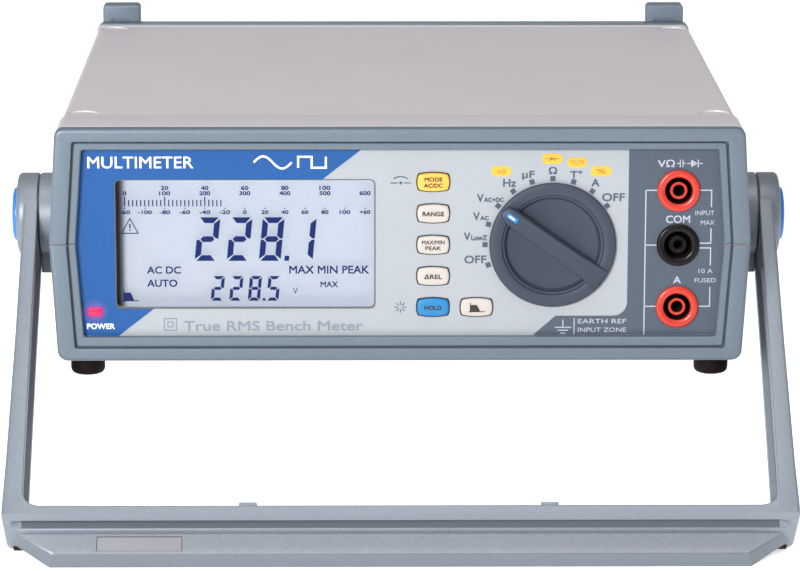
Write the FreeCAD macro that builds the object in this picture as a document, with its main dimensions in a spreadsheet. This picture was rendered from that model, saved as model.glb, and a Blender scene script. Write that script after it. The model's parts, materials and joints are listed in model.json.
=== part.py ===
import FreeCAD, Part
import math
import os
import Sketcher
from FreeCAD import Placement, Rotation, Vector

# Bench multimeter standing on its folded-out handle and its two rear feet.
#
# Every piece is modelled in the case frame (X to the right, Y to the rear, Z up, Y = 0 at the front
# rim, Z = 0 at the parting line of the two shells) or, for the handle, in the handle frame (origin on
# the pivot axis, -Y along the arms, +Z out of their front face).  One placement then tips the case
# back into its standing pose and puts the origin in the middle of the footprint, on the floor.

doc = FreeCAD.newDocument("BenchMultimeter")
sheet = doc.addObject("Spreadsheet::Sheet", "Sizes")

SIZES = {
    # case
    "case_half": 129.5, "case_top_half": 126.9, "case_top": 43.5, "case_bottom": 44.2,
    "case_depth": 256.0, "wall": 2.5, "edge_radius": 3.0,
    "rim_side": 6.1, "rim_height": 4.6, "rim_step": 1.2, "rim_depth": 4.5,
    "opening_half": 119.9, "opening_top_half": 118.1, "opening_height": 35.4, "tuck": 1.4,
    "panel_thickness": 2.5, "boss_radius": 5.0, "boss_x": 112.0, "boss_front": 30.0, "boss_rear": 222.0,
    "screw_radius": 1.5, "screw_clearance": 1.7, "screw_head_radius": 2.8, "screw_head_height": 2.0,
    "screw_reach": 14.0, "screw_hole_depth": 16.0,
    "vent_left": -46.0, "vent_right": 10.0, "vent_length": 36.0,
    "vent_start": 140.0, "vent_slot": 2.5, "vent_run": 49.0,
    "stand_tilt": 12.7,
    # feet and bumpers
    "foot_radius": 6.4, "foot_height": 7.5, "foot_x": 116.8, "foot_front": 14.0, "foot_rear": 238.0,
    "bumper_width": 16.0, "bumper_depth": 9.0, "bumper_x": 117.0, "bumper_top": 50.0, "bumper_low": 38.0,
    # display
    "window_x": -57.0, "window_z": -0.6, "window_width": 96.2, "window_height": 48.3,
    "pane_margin": 2.2, "pane_thickness": 1.4, "lcd_thickness": 2.4, "light_thickness": 4.0,
    "frame_wall": 2.5, "board_thickness": 1.6,
    "front_board_y": 18.0, "front_board_half": 30.0, "front_board_left": -120.0, "front_board_length": 205.0,
    "led_x": -113.2, "led_z": -26.3, "led_width": 5.6, "led_height": 3.4, "led_proud": 0.4, "led_fit": 0.05,
    # keys
    "key_x": 12.55, "key_top_z": 22.8, "key_pitch": 11.85, "filter_x": 28.6,
    "key_width": 12.2, "key_height": 7.6, "key_crown": 0.9, "key_gap": 0.3, "key_proud": 1.3,
    "key_flange": 0.9, "key_travel": 0.8, "flange_thickness": 1.2, "stem_radius": 2.0, "stem_length": 6.0,
    "switch_width": 6.0, "switch_height": 2.4, "nub_radius": 1.7,
    # knob
    "knob_x": 56.5, "knob_z": -0.9, "knob_radius": 23.5, "ring_inner": 18.9, "floor_radius": 16.7,
    "cup_radius": 19.6,
    "ring_proud": 1.8, "floor_sunk": 1.3, "grip_width": 7.0, "grip_proud": 6.0, "knob_angle": 54.0,
    "pointer_width": 2.2, "pointer_length": 5.4, "pointer_back": 6.9, "pointer_floor": 2.0,
    "pointer_thickness": 0.6, "pointer_fit": 0.05,
    "shaft_radius": 3.0, "shaft_fit": 0.05, "shaft_length": 18.0,
    "stator_radius": 19.0, "rotor_radius": 14.0, "rotor_thickness": 2.6,
    # sockets
    "jack_x": 102.9, "volt_z": 19.5, "com_z": -1.0, "amp_z": -24.5,
    "collar_radius": 7.9, "collar_proud": 1.6, "neck_radius": 6.5, "shroud_radius": 5.15,
    "tube_radius": 3.25, "contact_radius": 2.6, "bore_radius": 2.05, "jack_depth": 24.0, "guard_depth": 12.0,
    "nut_rim": 2.4, "nut_thickness": 3.0,
    # handle
    "pivot_y": 57.0, "hub_radius": 15.8, "fixed_boss_in": 129.6, "fixed_boss_out": 136.7,
    "hub_in": 137.0, "hub_out": 145.2, "pivot_radius": 4.0, "pivot_fit": 0.06, "stop_drop": 21.9,
    "handle_drop": 49.3, "arm_in": 137.0, "arm_out_top": 142.2, "arm_out_low": 144.9, "arm_front": 15.5,
    "arm_back": 14.0, "bar_inner": 129.7, "bar_face": 134.2, "lip_reach": 144.5, "lip_top": 2.0,
    "lip_thick": 4.5, "lip_root": 141.0, "lip_nose": 129.0, "gusset": 7.5,
    "groove_top": 9.6, "groove_low": 4.4, "groove_depth": 1.6,
    "plate_left": -113.6, "plate_front": -141.0, "plate_length": 31.4, "plate_depth": 5.9,
    "plate_thickness": 0.4,
    "tab_width": 6.6, "tab_left": -54.8, "tab_right": 55.2, "tab_z": 9.0,
    "pad_left": 137.4, "pad_width": 5.6, "pad_reach": 6.5,
    "button_radius": 10.2, "button_fit": 0.25, "button_in": 142.3, "button_out": 147.4,
    "button_floor": 140.0, "button_dome": 0.9, "spring_outer": 8.2, "spring_inner": 7.0,
    # rear
    "inlet_x": -72.0, "inlet_z": -8.0, "inlet_width": 31.0, "inlet_height": 40.0,
    "fuse_x": 40.0, "fuse_z": -8.0, "fuse_body_radius": 8.0, "fuse_cap_radius": 9.5, "fuse_length": 38.0,
    "fuse_radius": 5.0, "fuse_flange": 1.5, "cap_height": 4.5, "cap_plug": 6.0,
    "inlet_flange": 2.5, "core_inset": 2.1, "core_depth": 22.0, "pin_length": 13.0,
    "cord_width": 22.6, "cord_height": 15.6, "cord_depth": 14.0, "drawer_depth": 16.7,
    "drawer_height": 8.6, "drawer_rise": 6.3, "drawer_fit": 0.3,
    # inside
    "main_board_z": -34.0, "main_board_half": 103.0, "main_board_front": 26.0, "main_board_rear": 240.0,
    "standoff_radius": 3.5, "standoff_inset": 8.0, "standoff_margin": 14.0,
    "core_x": -78.0, "core_y": 196.0, "core_length": 54.0, "core_thickness": 20.0, "core_height": 45.0,
    "limb": 9.0, "coil_depth": 38.0,
}
VENT_ROWS = 8
for row, (alias, number) in enumerate(SIZES.items(), start=1):
    sheet.set(f"A{row}", alias.replace("_", " "))
    sheet.set(f"B{row}", str(number))
    sheet.setAlias(f"B{row}", alias)
doc.recompute()

X_AXIS, Y_AXIS, Z_AXIS = Vector(1, 0, 0), Vector(0, 1, 0), Vector(0, 0, 1)
FRONTWARD = Rotation(X_AXIS, 90)     # turns +Z to -Y
REARWARD = Rotation(X_AXIS, -90)     # turns +Z to +Y
TO_RIGHT = Rotation(Y_AXIS, 90)      # turns +Z to +X
TO_LEFT = Rotation(Y_AXIS, -90)      # turns +Z to -X


def size(alias):
    """A driving dimension, read back from the sheet."""
    return float(sheet.get(alias))


def at(x=0, y=0, z=0, turn=None):
    return Placement(Vector(x, y, z), turn or Rotation())


CASE = at()
HANDLE = at(0, size("pivot_y"), 0, Rotation(X_AXIS, size("handle_drop")))
NODES = []


def sub_part(feature, label, frame=CASE, local=None):
    """Name a finished piece and put it where it belongs in the standing instrument."""
    feature.Label = label
    stand = at(turn=Rotation(X_AXIS, -size("stand_tilt")))
    feature.Placement = stand.multiply(frame).multiply(local or feature.Placement)
    NODES.append(feature)
    return feature


# ------------------------------------------------------------------ building blocks

def bind(feature, **sizes):
    for name, expression in sizes.items():
        feature.setExpression(name, str(expression))
    return feature


def block(lx, ly, lz, x, y, z):
    """A box of the given expressions with its low corner at x, y, z."""
    feature = bind(doc.addObject("Part::Box", "Block"), Length=lx, Width=ly, Height=lz)
    feature.Placement = at(x, y, z)
    return feature


def rod(radius, length, x, y, z, turn=None):
    """A cylinder that starts at x, y, z and runs along its turned +Z."""
    feature = bind(doc.addObject("Part::Cylinder", "Rod"), Radius=radius, Height=length)
    feature.Placement = at(x, y, z, turn)
    return feature


def cut(base, *tools):
    for tool in tools:
        feature = doc.addObject("Part::Cut", "Cut")
        feature.Base = base
        feature.Tool = tool
        base = feature
    return base


def fuse(*pieces):
    feature = doc.addObject("Part::MultiFuse", "Fuse")
    feature.Shapes = list(pieces)
    return feature


def group(*pieces):
    """Identical loose pieces kept together as one node."""
    feature = doc.addObject("Part::Compound", "Group")
    feature.Links = list(pieces)
    return feature


def new_body(name):
    return doc.addObject("PartDesign::Body", name)


def sketch(body, role, points=(), circles=(), offset=0.0):
    """A closed outline of bound vertices, or bound circles, on one of the body's own planes."""
    drawing = body.newObject("Sketcher::SketchObject", body.Name + "Sketch")
    plane = next(f for f in body.Origin.OriginFeatures if f.Role == role)
    drawing.AttachmentSupport = (plane, [""])
    drawing.MapMode = "FlatFace"
    drawing.AttachmentOffset = at(0, 0, offset)
    count = len(points)
    turn = 2 * math.pi / max(count, 1)
    corners = [Vector(math.cos(turn * i), math.sin(turn * i), 0) for i in range(count)]
    for i in range(count):
        drawing.addGeometry(Part.LineSegment(corners[i], corners[(i + 1) % count]))
    for i in range(count):
        drawing.addConstraint(Sketcher.Constraint("Coincident", i, 2, (i + 1) % count, 1))
    for i, point in enumerate(points):
        bind_point(drawing, i, 1, point)
    for i, (x, y, radius) in enumerate(circles):
        drawing.addGeometry(Part.Circle(Vector(3 * i, 0, 0), Z_AXIS, 1.0))
        bind_point(drawing, i, 3, (x, y))
        index = drawing.addConstraint(Sketcher.Constraint("Radius", i, 1.0))
        drawing.setExpression(f"Constraints[{index}]", str(radius))
    return drawing


def bind_point(drawing, element, corner, point):
    for kind, expression in zip(("DistanceX", "DistanceY"), point):
        index = drawing.addConstraint(Sketcher.Constraint(kind, -1, 1, element, corner, 1.0))
        drawing.setExpression(f"Constraints[{index}]", str(expression))


def pad(body, drawing, length, reverse=False):
    feature = body.newObject("PartDesign::Pad", body.Name + "Pad")
    feature.Profile = drawing
    feature.Reversed = reverse
    return bind(feature, Length=length)


def pocket(body, drawing, length=None, reverse=False):
    """Cut a sketch out of the body, to a bound depth or right through both ways."""
    before = body_volume(body)
    feature = body.newObject("PartDesign::Pocket", body.Name + "Pocket")
    feature.Profile = drawing
    feature.Reversed = reverse
    if length is None:
        feature.Type = "ThroughAll"
        feature.Midplane = True
    else:
        bind(feature, Length=length)
    if not body_volume(body) < before:
        raise RuntimeError(f"{feature.Name} removes nothing")
    return feature


def body_volume(body):
    doc.recompute()
    return body.Shape.Volume


def revolve(name, points):
    """A turned piece: (radius, height) vertices spun about the body's Z axis."""
    body = new_body(name)
    feature = body.newObject("PartDesign::Revolution", name + "Turn")
    feature.Profile = sketch(body, "XZ_Plane", points)
    feature.ReferenceAxis = (feature.Profile[0], ["V_Axis"])
    feature.Angle = 360
    return body


def long_edges(shape, axis, keep):
    """Names of the straight edges along an axis whose midpoint passes the test."""
    names = []
    for i, edge in enumerate(shape.Edges, start=1):
        if len(edge.Vertexes) != 2:
            continue
        run = edge.Vertexes[1].Point - edge.Vertexes[0].Point
        if abs(run.dot(axis)) > 0.999 * run.Length and keep(edge.CenterOfMass):
            names.append(f"Edge{i}")
    return names


def fillet(body, base, names, radius):
    feature = body.newObject("PartDesign::Fillet", body.Name + "Fillet")
    feature.Base = (base, names)
    return bind(feature, Radius=radius)


# ------------------------------------------------------------------ case

def shell(label, side, height):
    """Half of the case: drafted walls, rims that trap the two end panels, four screw bosses."""
    def outline(half, top_half, top):
        return [(f"-({half})", "0"), (f"-({top_half})", f"{side} * ({top})"),
                (top_half, f"{side} * ({top})"), (half, "0")]

    body = new_body(label)
    outside = outline("Sizes.case_half", "Sizes.case_top_half", height)
    walls = pad(body, sketch(body, "XZ_Plane", outside), "Sizes.case_depth", reverse=True)
    doc.recompute()
    rim = long_edges(walls.Shape, Y_AXIS, lambda middle: abs(middle.z) > 1)
    fillet(body, walls, rim, "Sizes.edge_radius")
    inside = outline("Sizes.case_half - Sizes.wall", "Sizes.case_top_half - Sizes.wall",
                     f"{height} - Sizes.wall")
    hollow = sketch(body, "XZ_Plane", inside, offset=-size("rim_depth"))
    pocket(body, hollow, "Sizes.case_depth - 2 * Sizes.rim_depth")
    opening = outline("Sizes.opening_half", "Sizes.opening_top_half", "Sizes.opening_height")
    pocket(body, sketch(body, "XZ_Plane", opening))
    step = outline("Sizes.case_half - Sizes.rim_side", "Sizes.case_top_half - Sizes.rim_side",
                   f"{height} - Sizes.rim_height")
    pocket(body, sketch(body, "XZ_Plane", step), "Sizes.rim_step")
    rear_step = sketch(body, "XZ_Plane", step, offset=-size("case_depth"))
    pocket(body, rear_step, "Sizes.rim_step", reverse=True)
    places = [(f"{sign} * Sizes.boss_x", y) for sign in (-1, 1)
              for y in ("Sizes.boss_front", "Sizes.boss_rear")]
    bosses = sketch(body, "XY_Plane", circles=[(x, y, "Sizes.boss_radius") for x, y in places])
    pad(body, bosses, f"{height} - Sizes.wall / 2", reverse=side < 0)
    holes = sketch(body, "XY_Plane", circles=[(x, y, "Sizes.screw_clearance") for x, y in places])
    if side < 0:
        pocket(body, holes)
    else:
        pocket(body, holes, "Sizes.screw_hole_depth", reverse=True)
    pivot = sketch(body, "YZ_Plane", circles=[("Sizes.pivot_y", "0", "Sizes.pivot_radius + 0.1")])
    pocket(body, pivot)
    return body


def vented(body):
    """Two columns of cooling slots through the floor of the lower shell."""
    start, end = "Sizes.vent_start", "Sizes.vent_start + Sizes.vent_slot"
    along = next(f for f in body.Origin.OriginFeatures if f.Role == "Y_Axis")
    for left in ("Sizes.vent_left", "Sizes.vent_right"):
        right = f"{left} + Sizes.vent_length"
        slot = sketch(body, "XY_Plane", [(left, start), (right, start), (right, end), (left, end)],
                      offset=-size("case_bottom") - 1)
        first = pocket(body, slot, "Sizes.wall + 3", reverse=True)
        rows = body.newObject("PartDesign::LinearPattern", "VentRows")
        rows.Originals = [first]
        rows.Direction = (along, [""])
        bind(rows, Length="Sizes.vent_run")
        rows.Occurrences = VENT_ROWS
        body.Tip = rows
    return body


def end_panel_outline():
    top = "Sizes.opening_height + Sizes.tuck"
    half = "Sizes.opening_half + Sizes.tuck"
    top_half = "Sizes.opening_top_half + Sizes.tuck"
    return [(f"-({half})", "0"), (f"-({top_half})", top), (top_half, top), (half, "0"),
            (top_half, f"-({top})"), (f"-({top_half})", f"-({top})")]


def rectangle(x, z, width, height):
    return [(f"{x} - {width} / 2", f"{z} - {height} / 2"), (f"{x} + {width} / 2", f"{z} - {height} / 2"),
            (f"{x} + {width} / 2", f"{z} + {height} / 2"), (f"{x} - {width} / 2", f"{z} + {height} / 2")]


def key_outline(x, z, grow="0"):
    """Barrel-shaped key: flat corners, crowned long and short sides."""
    half_x, half_z = f"(Sizes.key_width / 2 + {grow})", f"(Sizes.key_height / 2 + {grow})"
    in_x, in_z = f"({half_x} - Sizes.key_crown)", f"({half_z} - Sizes.key_crown)"
    return [(f"{x} - {in_x}", f"{z} - {in_z}"), (f"{x}", f"{z} - {half_z}"),
            (f"{x} + {in_x}", f"{z} - {in_z}"), (f"{x} + {half_x}", f"{z}"),
            (f"{x} + {in_x}", f"{z} + {in_z}"), (f"{x}", f"{z} + {half_z}"),
            (f"{x} - {in_x}", f"{z} + {in_z}"), (f"{x} - {half_x}", f"{z}")]


KEYS = {"mode_key": 0, "range_key": 1, "max_min_key": 2, "relative_key": 3, "hold_key": 4}
JACKS = {"volt_socket": "volt_z", "common_socket": "com_z", "amp_socket": "amp_z"}


def key_place(label):
    if label == "filter_key":
        return "Sizes.filter_x", "(Sizes.key_top_z - 4 * Sizes.key_pitch)"
    return "Sizes.key_x", f"(Sizes.key_top_z - {KEYS[label]} * Sizes.key_pitch)"


def front_panel():
    body = new_body("front_panel")
    panel_y = size("rim_depth")
    pad(body, sketch(body, "XZ_Plane", end_panel_outline(), offset=-panel_y),
        "Sizes.panel_thickness", reverse=True)
    window = rectangle("Sizes.window_x", "Sizes.window_z", "Sizes.window_width", "Sizes.window_height")
    pocket(body, sketch(body, "XZ_Plane", window))
    led = rectangle("Sizes.led_x", "Sizes.led_z", "Sizes.led_width", "Sizes.led_height")
    pocket(body, sketch(body, "XZ_Plane", led))
    for label in [*KEYS, "filter_key"]:
        pocket(body, sketch(body, "XZ_Plane", key_outline(*key_place(label), grow="Sizes.key_gap")))
    holes = [("Sizes.jack_x", f"Sizes.{z}", "Sizes.neck_radius + 0.05") for z in JACKS.values()]
    holes.append(("Sizes.knob_x", "Sizes.knob_z", "Sizes.cup_radius + 0.5"))
    pocket(body, sketch(body, "XZ_Plane", circles=holes))
    return body


def rear_panel():
    body = new_body("rear_panel")
    inner_y = size("case_depth") - size("rim_depth")
    pad(body, sketch(body, "XZ_Plane", end_panel_outline(), offset=-inner_y), "Sizes.panel_thickness")
    inlet = rectangle("Sizes.inlet_x", "Sizes.inlet_z", "(Sizes.inlet_width - 4)", "(Sizes.inlet_height - 4)")
    pocket(body, sketch(body, "XZ_Plane", inlet))
    pocket(body, sketch(body, "XZ_Plane", circles=[
        ("Sizes.fuse_x", "Sizes.fuse_z", "Sizes.fuse_body_radius + 0.1")]))
    return body


def build_case():
    sub_part(shell("upper_shell", 1, "Sizes.case_top"), "upper_shell")
    sub_part(vented(shell("lower_shell", -1, "Sizes.case_bottom")), "lower_shell")
    sub_part(front_panel(), "front_panel")
    sub_part(rear_panel(), "rear_panel")
    under = -size("case_bottom")
    screws = []
    for x in (-size("boss_x"), size("boss_x")):
        for y in (size("boss_front"), size("boss_rear")):
            head = rod("Sizes.screw_head_radius", "Sizes.screw_head_height", x, y, under - 2.1)
            thread = rod("Sizes.screw_radius", "Sizes.case_bottom + Sizes.screw_reach", x, y, under - 1)
            screws.append(fuse(head, thread))
    sub_part(group(*screws), "case_screws")


def build_feet():
    for label, y in (("front_feet", "foot_front"), ("rear_feet", "foot_rear")):
        feet = [rod("Sizes.foot_radius", "Sizes.foot_height", sign * size("foot_x"), size(y),
                    -size("case_bottom") - size("foot_height")) for sign in (-1, 1)]
        sub_part(group(*feet), label)
    bumpers = []
    for sign in (-1, 1):
        left = sign * size("bumper_x") - size("bumper_width") / 2
        bumpers.append(block("Sizes.bumper_width", "Sizes.bumper_depth", "Sizes.bumper_top + Sizes.bumper_low",
                             left, size("case_depth"), -size("bumper_low")))
    sub_part(group(*bumpers), "rear_bumpers")


# ------------------------------------------------------------------ display and front board

def layer(extra, thickness, y):
    """A plate behind the window, wider than it by the pane margin plus extra, with its front at y."""
    margin = size("pane_margin") + extra
    grow = f"2 * (Sizes.pane_margin + {extra})"
    left = size("window_x") - size("window_width") / 2 - margin
    low = size("window_z") - size("window_height") / 2 - margin
    return block(f"Sizes.window_width + {grow}", thickness, f"Sizes.window_height + {grow}", left, y, low)


def build_display():
    frame_y = size("rim_depth") + size("panel_thickness")
    y = frame_y
    for label, thickness in (("display_window", "pane_thickness"), ("lcd_glass", "lcd_thickness"),
                             ("lcd_backlight", "light_thickness")):
        sub_part(layer(0, f"Sizes.{thickness}", y), label)
        y += size(thickness)
    outer = layer(size("frame_wall"), size("front_board_y") - frame_y, frame_y)
    inner = layer(0.02, 40, frame_y - 5)
    sub_part(cut(outer, inner), "lcd_frame")
    board = block("Sizes.front_board_length", "Sizes.board_thickness", "2 * Sizes.front_board_half",
                  size("front_board_left"), size("front_board_y"), -size("front_board_half"))
    shaft_hole = rod("Sizes.shaft_radius + 1.5", "20", size("knob_x"), size("front_board_y") - 5,
                     size("knob_z"), REARWARD)
    sub_part(cut(board, shaft_hole), "front_board")
    led_y = size("rim_depth") - size("led_proud")
    led = block("Sizes.led_width - 2 * Sizes.led_fit", size("front_board_y") - led_y,
                "Sizes.led_height - 2 * Sizes.led_fit",
                size("led_x") - size("led_width") / 2 + size("led_fit"), led_y,
                size("led_z") - size("led_height") / 2 + size("led_fit"))
    sub_part(led, "power_led")


def build_keys():
    panel_back = size("rim_depth") + size("panel_thickness")
    flange_y, stem_y = panel_back + 0.35, panel_back + 1
    switch_y = size("front_board_y") - size("switch_height")
    nub_y = stem_y + size("stem_length") + size("key_travel") + 0.1
    switches = []
    for label in [*KEYS, "filter_key"]:
        x, z = key_place(label)
        body = new_body(label)
        cap = sketch(body, "XZ_Plane", key_outline(x, z), offset=size("key_proud") - size("rim_depth"))
        pad(body, cap, "Sizes.key_proud + Sizes.panel_thickness + 0.4", reverse=True)
        flange = sketch(body, "XZ_Plane", key_outline(x, z, grow="Sizes.key_flange"), offset=-flange_y)
        pad(body, flange, "Sizes.flange_thickness", reverse=True)
        stem = sketch(body, "XZ_Plane", circles=[(x, z, "Sizes.stem_radius")], offset=-stem_y)
        pad(body, stem, "Sizes.stem_length", reverse=True)
        sub_part(body, label)
        centre_x = size("filter_x" if label == "filter_key" else "key_x")
        centre_z = size("key_top_z") - KEYS.get(label, KEYS["hold_key"]) * size("key_pitch")
        half = size("switch_width") / 2
        housing = block("Sizes.switch_width", "Sizes.switch_height", "Sizes.switch_width",
                        centre_x - half, switch_y, centre_z - half)
        nub = rod("Sizes.nub_radius", switch_y - nub_y, centre_x, nub_y, centre_z, REARWARD)
        switches.append(fuse(housing, nub))
    sub_part(group(*switches), "key_switches")


# ------------------------------------------------------------------ function knob

KNOB = at(size("knob_x"), size("rim_depth"), size("knob_z"), FRONTWARD)


def build_knob():
    cup_back = "-(Sizes.floor_sunk + 2)"
    disc = revolve("KnobDisc", [
        ("0", cup_back), ("Sizes.cup_radius", cup_back), ("Sizes.cup_radius", "0.3"),
        ("Sizes.knob_radius - 0.2", "0.3"), ("Sizes.knob_radius", "0.6"),
        ("Sizes.knob_radius - 0.6", "Sizes.ring_proud"), ("Sizes.ring_inner", "Sizes.ring_proud"),
        ("Sizes.floor_radius", "-Sizes.floor_sunk"), ("0", "-Sizes.floor_sunk")])
    grip = new_body("KnobGrip")
    half, reach = "Sizes.grip_width / 2", "(Sizes.knob_radius - 0.8)"
    plan = [(f"-{half}", "-Sizes.knob_radius + 1.2"), (half, "-Sizes.knob_radius + 1.2"),
            (half, f"{reach} - 2.4"), (f"{half} - 2.2", reach),
            (f"-({half} - 2.2)", reach), (f"-{half}", f"{reach} - 2.4")]
    pad(grip, sketch(grip, "XY_Plane", plan, offset=0.8), "Sizes.grip_proud")
    root = [(f"-{half}", "-Sizes.ring_inner"), (half, "-Sizes.ring_inner"),
            (half, "Sizes.ring_inner"), (f"-{half}", "Sizes.ring_inner")]
    pad(grip, sketch(grip, "XY_Plane", root, offset=-size("floor_sunk") - 0.5), "Sizes.floor_sunk + 1.5")
    end, above = "Sizes.knob_radius + 2", "Sizes.grip_proud + 5"
    slope = [(f"-({end})", "Sizes.ring_proud + 1.2"), ("-6", "Sizes.grip_proud"),
             ("6", "Sizes.grip_proud"), (end, "Sizes.ring_proud + 0.2"),
             (end, above), (f"-({end})", above)]
    pocket(grip, sketch(grip, "YZ_Plane", slope))
    turned = Rotation(Z_AXIS, size("knob_angle"))
    recess_x, recess_y = -size("pointer_width") / 2, size("knob_radius") - size("pointer_back")
    floor, fit = size("pointer_floor"), size("pointer_fit")
    recess = block("Sizes.pointer_width", "Sizes.pointer_length", "4", recess_x, recess_y, floor)
    sub_part(cut(fuse(disc, grip), recess), "function_knob", KNOB, at(turn=turned))
    insert = block("Sizes.pointer_width - 2 * Sizes.pointer_fit", "Sizes.pointer_length - 2 * Sizes.pointer_fit",
                   "Sizes.pointer_thickness", recess_x + fit, recess_y + fit, floor)
    sub_part(insert, "knob_pointer", KNOB, at(turn=turned).multiply(insert.Placement))
    shaft_top = -(size("floor_sunk") + 2)
    shaft = rod("Sizes.shaft_radius", "Sizes.shaft_length", 0, 0, shaft_top - size("shaft_length"))
    flat = block("8", "8", "6", -4, size("shaft_radius") - 0.6, shaft_top - 6)
    sub_part(cut(shaft, flat), "knob_shaft", KNOB)
    stator_z = size("rim_depth") - size("front_board_y")
    rotor_z = stator_z + 2.5
    rotor = rod("Sizes.rotor_radius", "Sizes.rotor_thickness", 0, 0, rotor_z)
    hole = rod("Sizes.shaft_radius", "Sizes.rotor_thickness", 0, 0, rotor_z)
    sub_part(cut(rotor, hole), "switch_rotor", KNOB)
    housing = rod("Sizes.stator_radius", shaft_top - stator_z - 0.6, 0, 0, stator_z)
    cavity = rod("Sizes.rotor_radius + 0.4", "Sizes.rotor_thickness + 1.2", 0, 0, stator_z + 1.9)
    bore = rod("Sizes.shaft_radius + Sizes.shaft_fit", "30", 0, 0, stator_z - 1)
    sub_part(cut(housing, cavity, bore), "switch_stator", KNOB)


# ------------------------------------------------------------------ sockets

def socket_profile():
    """Turned outline of a socket: inner tube, guarded gap, collar and threaded neck."""
    proud, gap, back = "Sizes.collar_proud", "-Sizes.guard_depth", "-Sizes.jack_depth + 8"
    tube_top, shoulder = f"{proud} - 1.2", f"{proud} - 0.9"
    return [("Sizes.contact_radius", tube_top), ("Sizes.tube_radius", tube_top),
            ("Sizes.tube_radius", gap), ("Sizes.shroud_radius", gap),
            ("Sizes.shroud_radius", f"{proud} - 0.4"), ("Sizes.shroud_radius + 0.4", proud),
            ("Sizes.collar_radius - 0.8", proud), ("Sizes.collar_radius", shoulder),
            ("Sizes.collar_radius", "0"), ("Sizes.neck_radius", "0"), ("Sizes.neck_radius", back),
            ("Sizes.contact_radius", back)]


def build_sockets():
    contacts, nuts = [], []
    depth = size("jack_depth")
    nut_z = -size("panel_thickness") - size("nut_thickness") - 0.2
    for label, height in JACKS.items():
        place = at(size("jack_x"), size("rim_depth"), size(height), FRONTWARD)
        sub_part(revolve(label, socket_profile()), label, CASE, place)
        barrel = rod("Sizes.contact_radius", "Sizes.jack_depth", 0, 0, -depth)
        contact = cut(barrel, rod("Sizes.bore_radius", "Sizes.jack_depth", 0, 0, 4 - depth))
        contact.Placement = place
        contacts.append(contact)
        blank = rod("Sizes.neck_radius + Sizes.nut_rim", "Sizes.nut_thickness", 0, 0, nut_z)
        nut = cut(blank, rod("Sizes.neck_radius + 0.02", "Sizes.nut_thickness", 0, 0, nut_z))
        nut.Placement = place
        nuts.append(nut)
    sub_part(group(*contacts), "socket_contacts")
    sub_part(group(*nuts), "socket_nuts")


# ------------------------------------------------------------------ handle

def side_turn(sign):
    return TO_RIGHT if sign > 0 else TO_LEFT


def handle_arm(label, sign):
    """Wide flat arm tangent to a round hub, in the handle frame."""
    body = new_body(label + "Blade")
    turn = side_turn(sign)
    x_in, top, low = (f"{sign} * Sizes.{name}" for name in ("arm_in", "arm_out_top", "arm_out_low"))
    reach = "-Sizes.bar_face"
    plan = [(x_in, "0"), (top, "0"), (low, reach), (x_in, reach)]
    pad(body, sketch(body, "XY_Plane", plan, offset=-size("arm_back")), "Sizes.arm_front + Sizes.arm_back")
    corner = [("-Sizes.bar_face - 1", "-Sizes.arm_back + 4"), ("-Sizes.bar_face + 3.2", "-Sizes.arm_back - 0.4"),
              ("-Sizes.bar_face - 1", "-Sizes.arm_back - 0.4")]
    pocket(body, sketch(body, "YZ_Plane", corner))
    hub = rod("Sizes.hub_radius", "Sizes.hub_out - Sizes.hub_in", sign * size("hub_in"), 0, 0, turn)
    recess = rod("Sizes.button_radius + Sizes.button_fit", "20", sign * size("button_floor"), 0, 0, turn)
    bore = rod("Sizes.pivot_radius + Sizes.pivot_fit", "20", sign * (size("hub_in") - 5), 0, 0, turn)
    return sub_part(cut(fuse(body, hub), recess, bore), label, HANDLE)


def crossbar():
    """Deep bar between the arms, with corner gussets and a finger groove along its front."""
    body = new_body("Bar")
    inner, face, corner = "Sizes.arm_in", "-Sizes.bar_face", "-(Sizes.bar_inner - Sizes.gusset)"
    bend = "Sizes.arm_in - Sizes.gusset"
    plan = [(f"-({inner})", corner), (f"-({bend})", "-Sizes.bar_inner"), (bend, "-Sizes.bar_inner"),
            (inner, corner), (inner, face), (f"-({inner})", face)]
    pad(body, sketch(body, "XY_Plane", plan, offset=-size("arm_back")), "Sizes.arm_front + Sizes.arm_back")
    outside, bottom = f"{face} - 1", f"{face} + Sizes.groove_depth"
    groove = [(outside, "Sizes.groove_top"), (bottom, "Sizes.groove_top - 1.4"),
              (bottom, "Sizes.groove_low + 1.4"), (outside, "Sizes.groove_low")]
    pocket(body, sketch(body, "YZ_Plane", groove))
    return body


def crossbar_lip():
    """Shelf along the foot of the bar, narrower at its nose and bevelled in front."""
    body = new_body("CrossbarLip")
    reach, face = "-Sizes.lip_reach", "-Sizes.bar_face"
    plan = [("-Sizes.lip_root", face), ("-Sizes.lip_nose", reach), ("Sizes.lip_nose", reach),
            ("Sizes.lip_root", face)]
    pad(body, sketch(body, "XY_Plane", plan, offset=-size("lip_top") - size("lip_thick")), "Sizes.lip_thick")
    outside, low = f"{reach} - 1", "-Sizes.lip_top - Sizes.lip_thick + 0.3"
    bevel = [(outside, "-Sizes.lip_top + 1"), (f"{reach} + 4.3", "-Sizes.lip_top + 0.001"),
             (reach, low), (outside, low)]
    pocket(body, sketch(body, "YZ_Plane", bevel))
    return body


def floor_height(arm_reach):
    """Where the floor lies, along the handle's own Z, under a point that far along the arms."""
    tilt = math.radians(size("stand_tilt"))
    lean = math.radians(size("handle_drop") - size("stand_tilt"))
    heel_y = size("foot_rear") + size("foot_radius")
    heel_z = -size("case_bottom") - size("foot_height")
    drop = (heel_y - size("pivot_y")) * -math.sin(tilt) + heel_z * math.cos(tilt)
    return (drop + arm_reach * math.sin(lean)) / math.cos(lean)


def extruded(points, start, length):
    """A prism along X from an outline in the handle's YZ plane."""
    outline = [Vector(start, y, z) for y, z in points]
    return Part.Face(Part.makePolygon(outline + outline[:1])).extrude(Vector(length, 0, 0))


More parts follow.
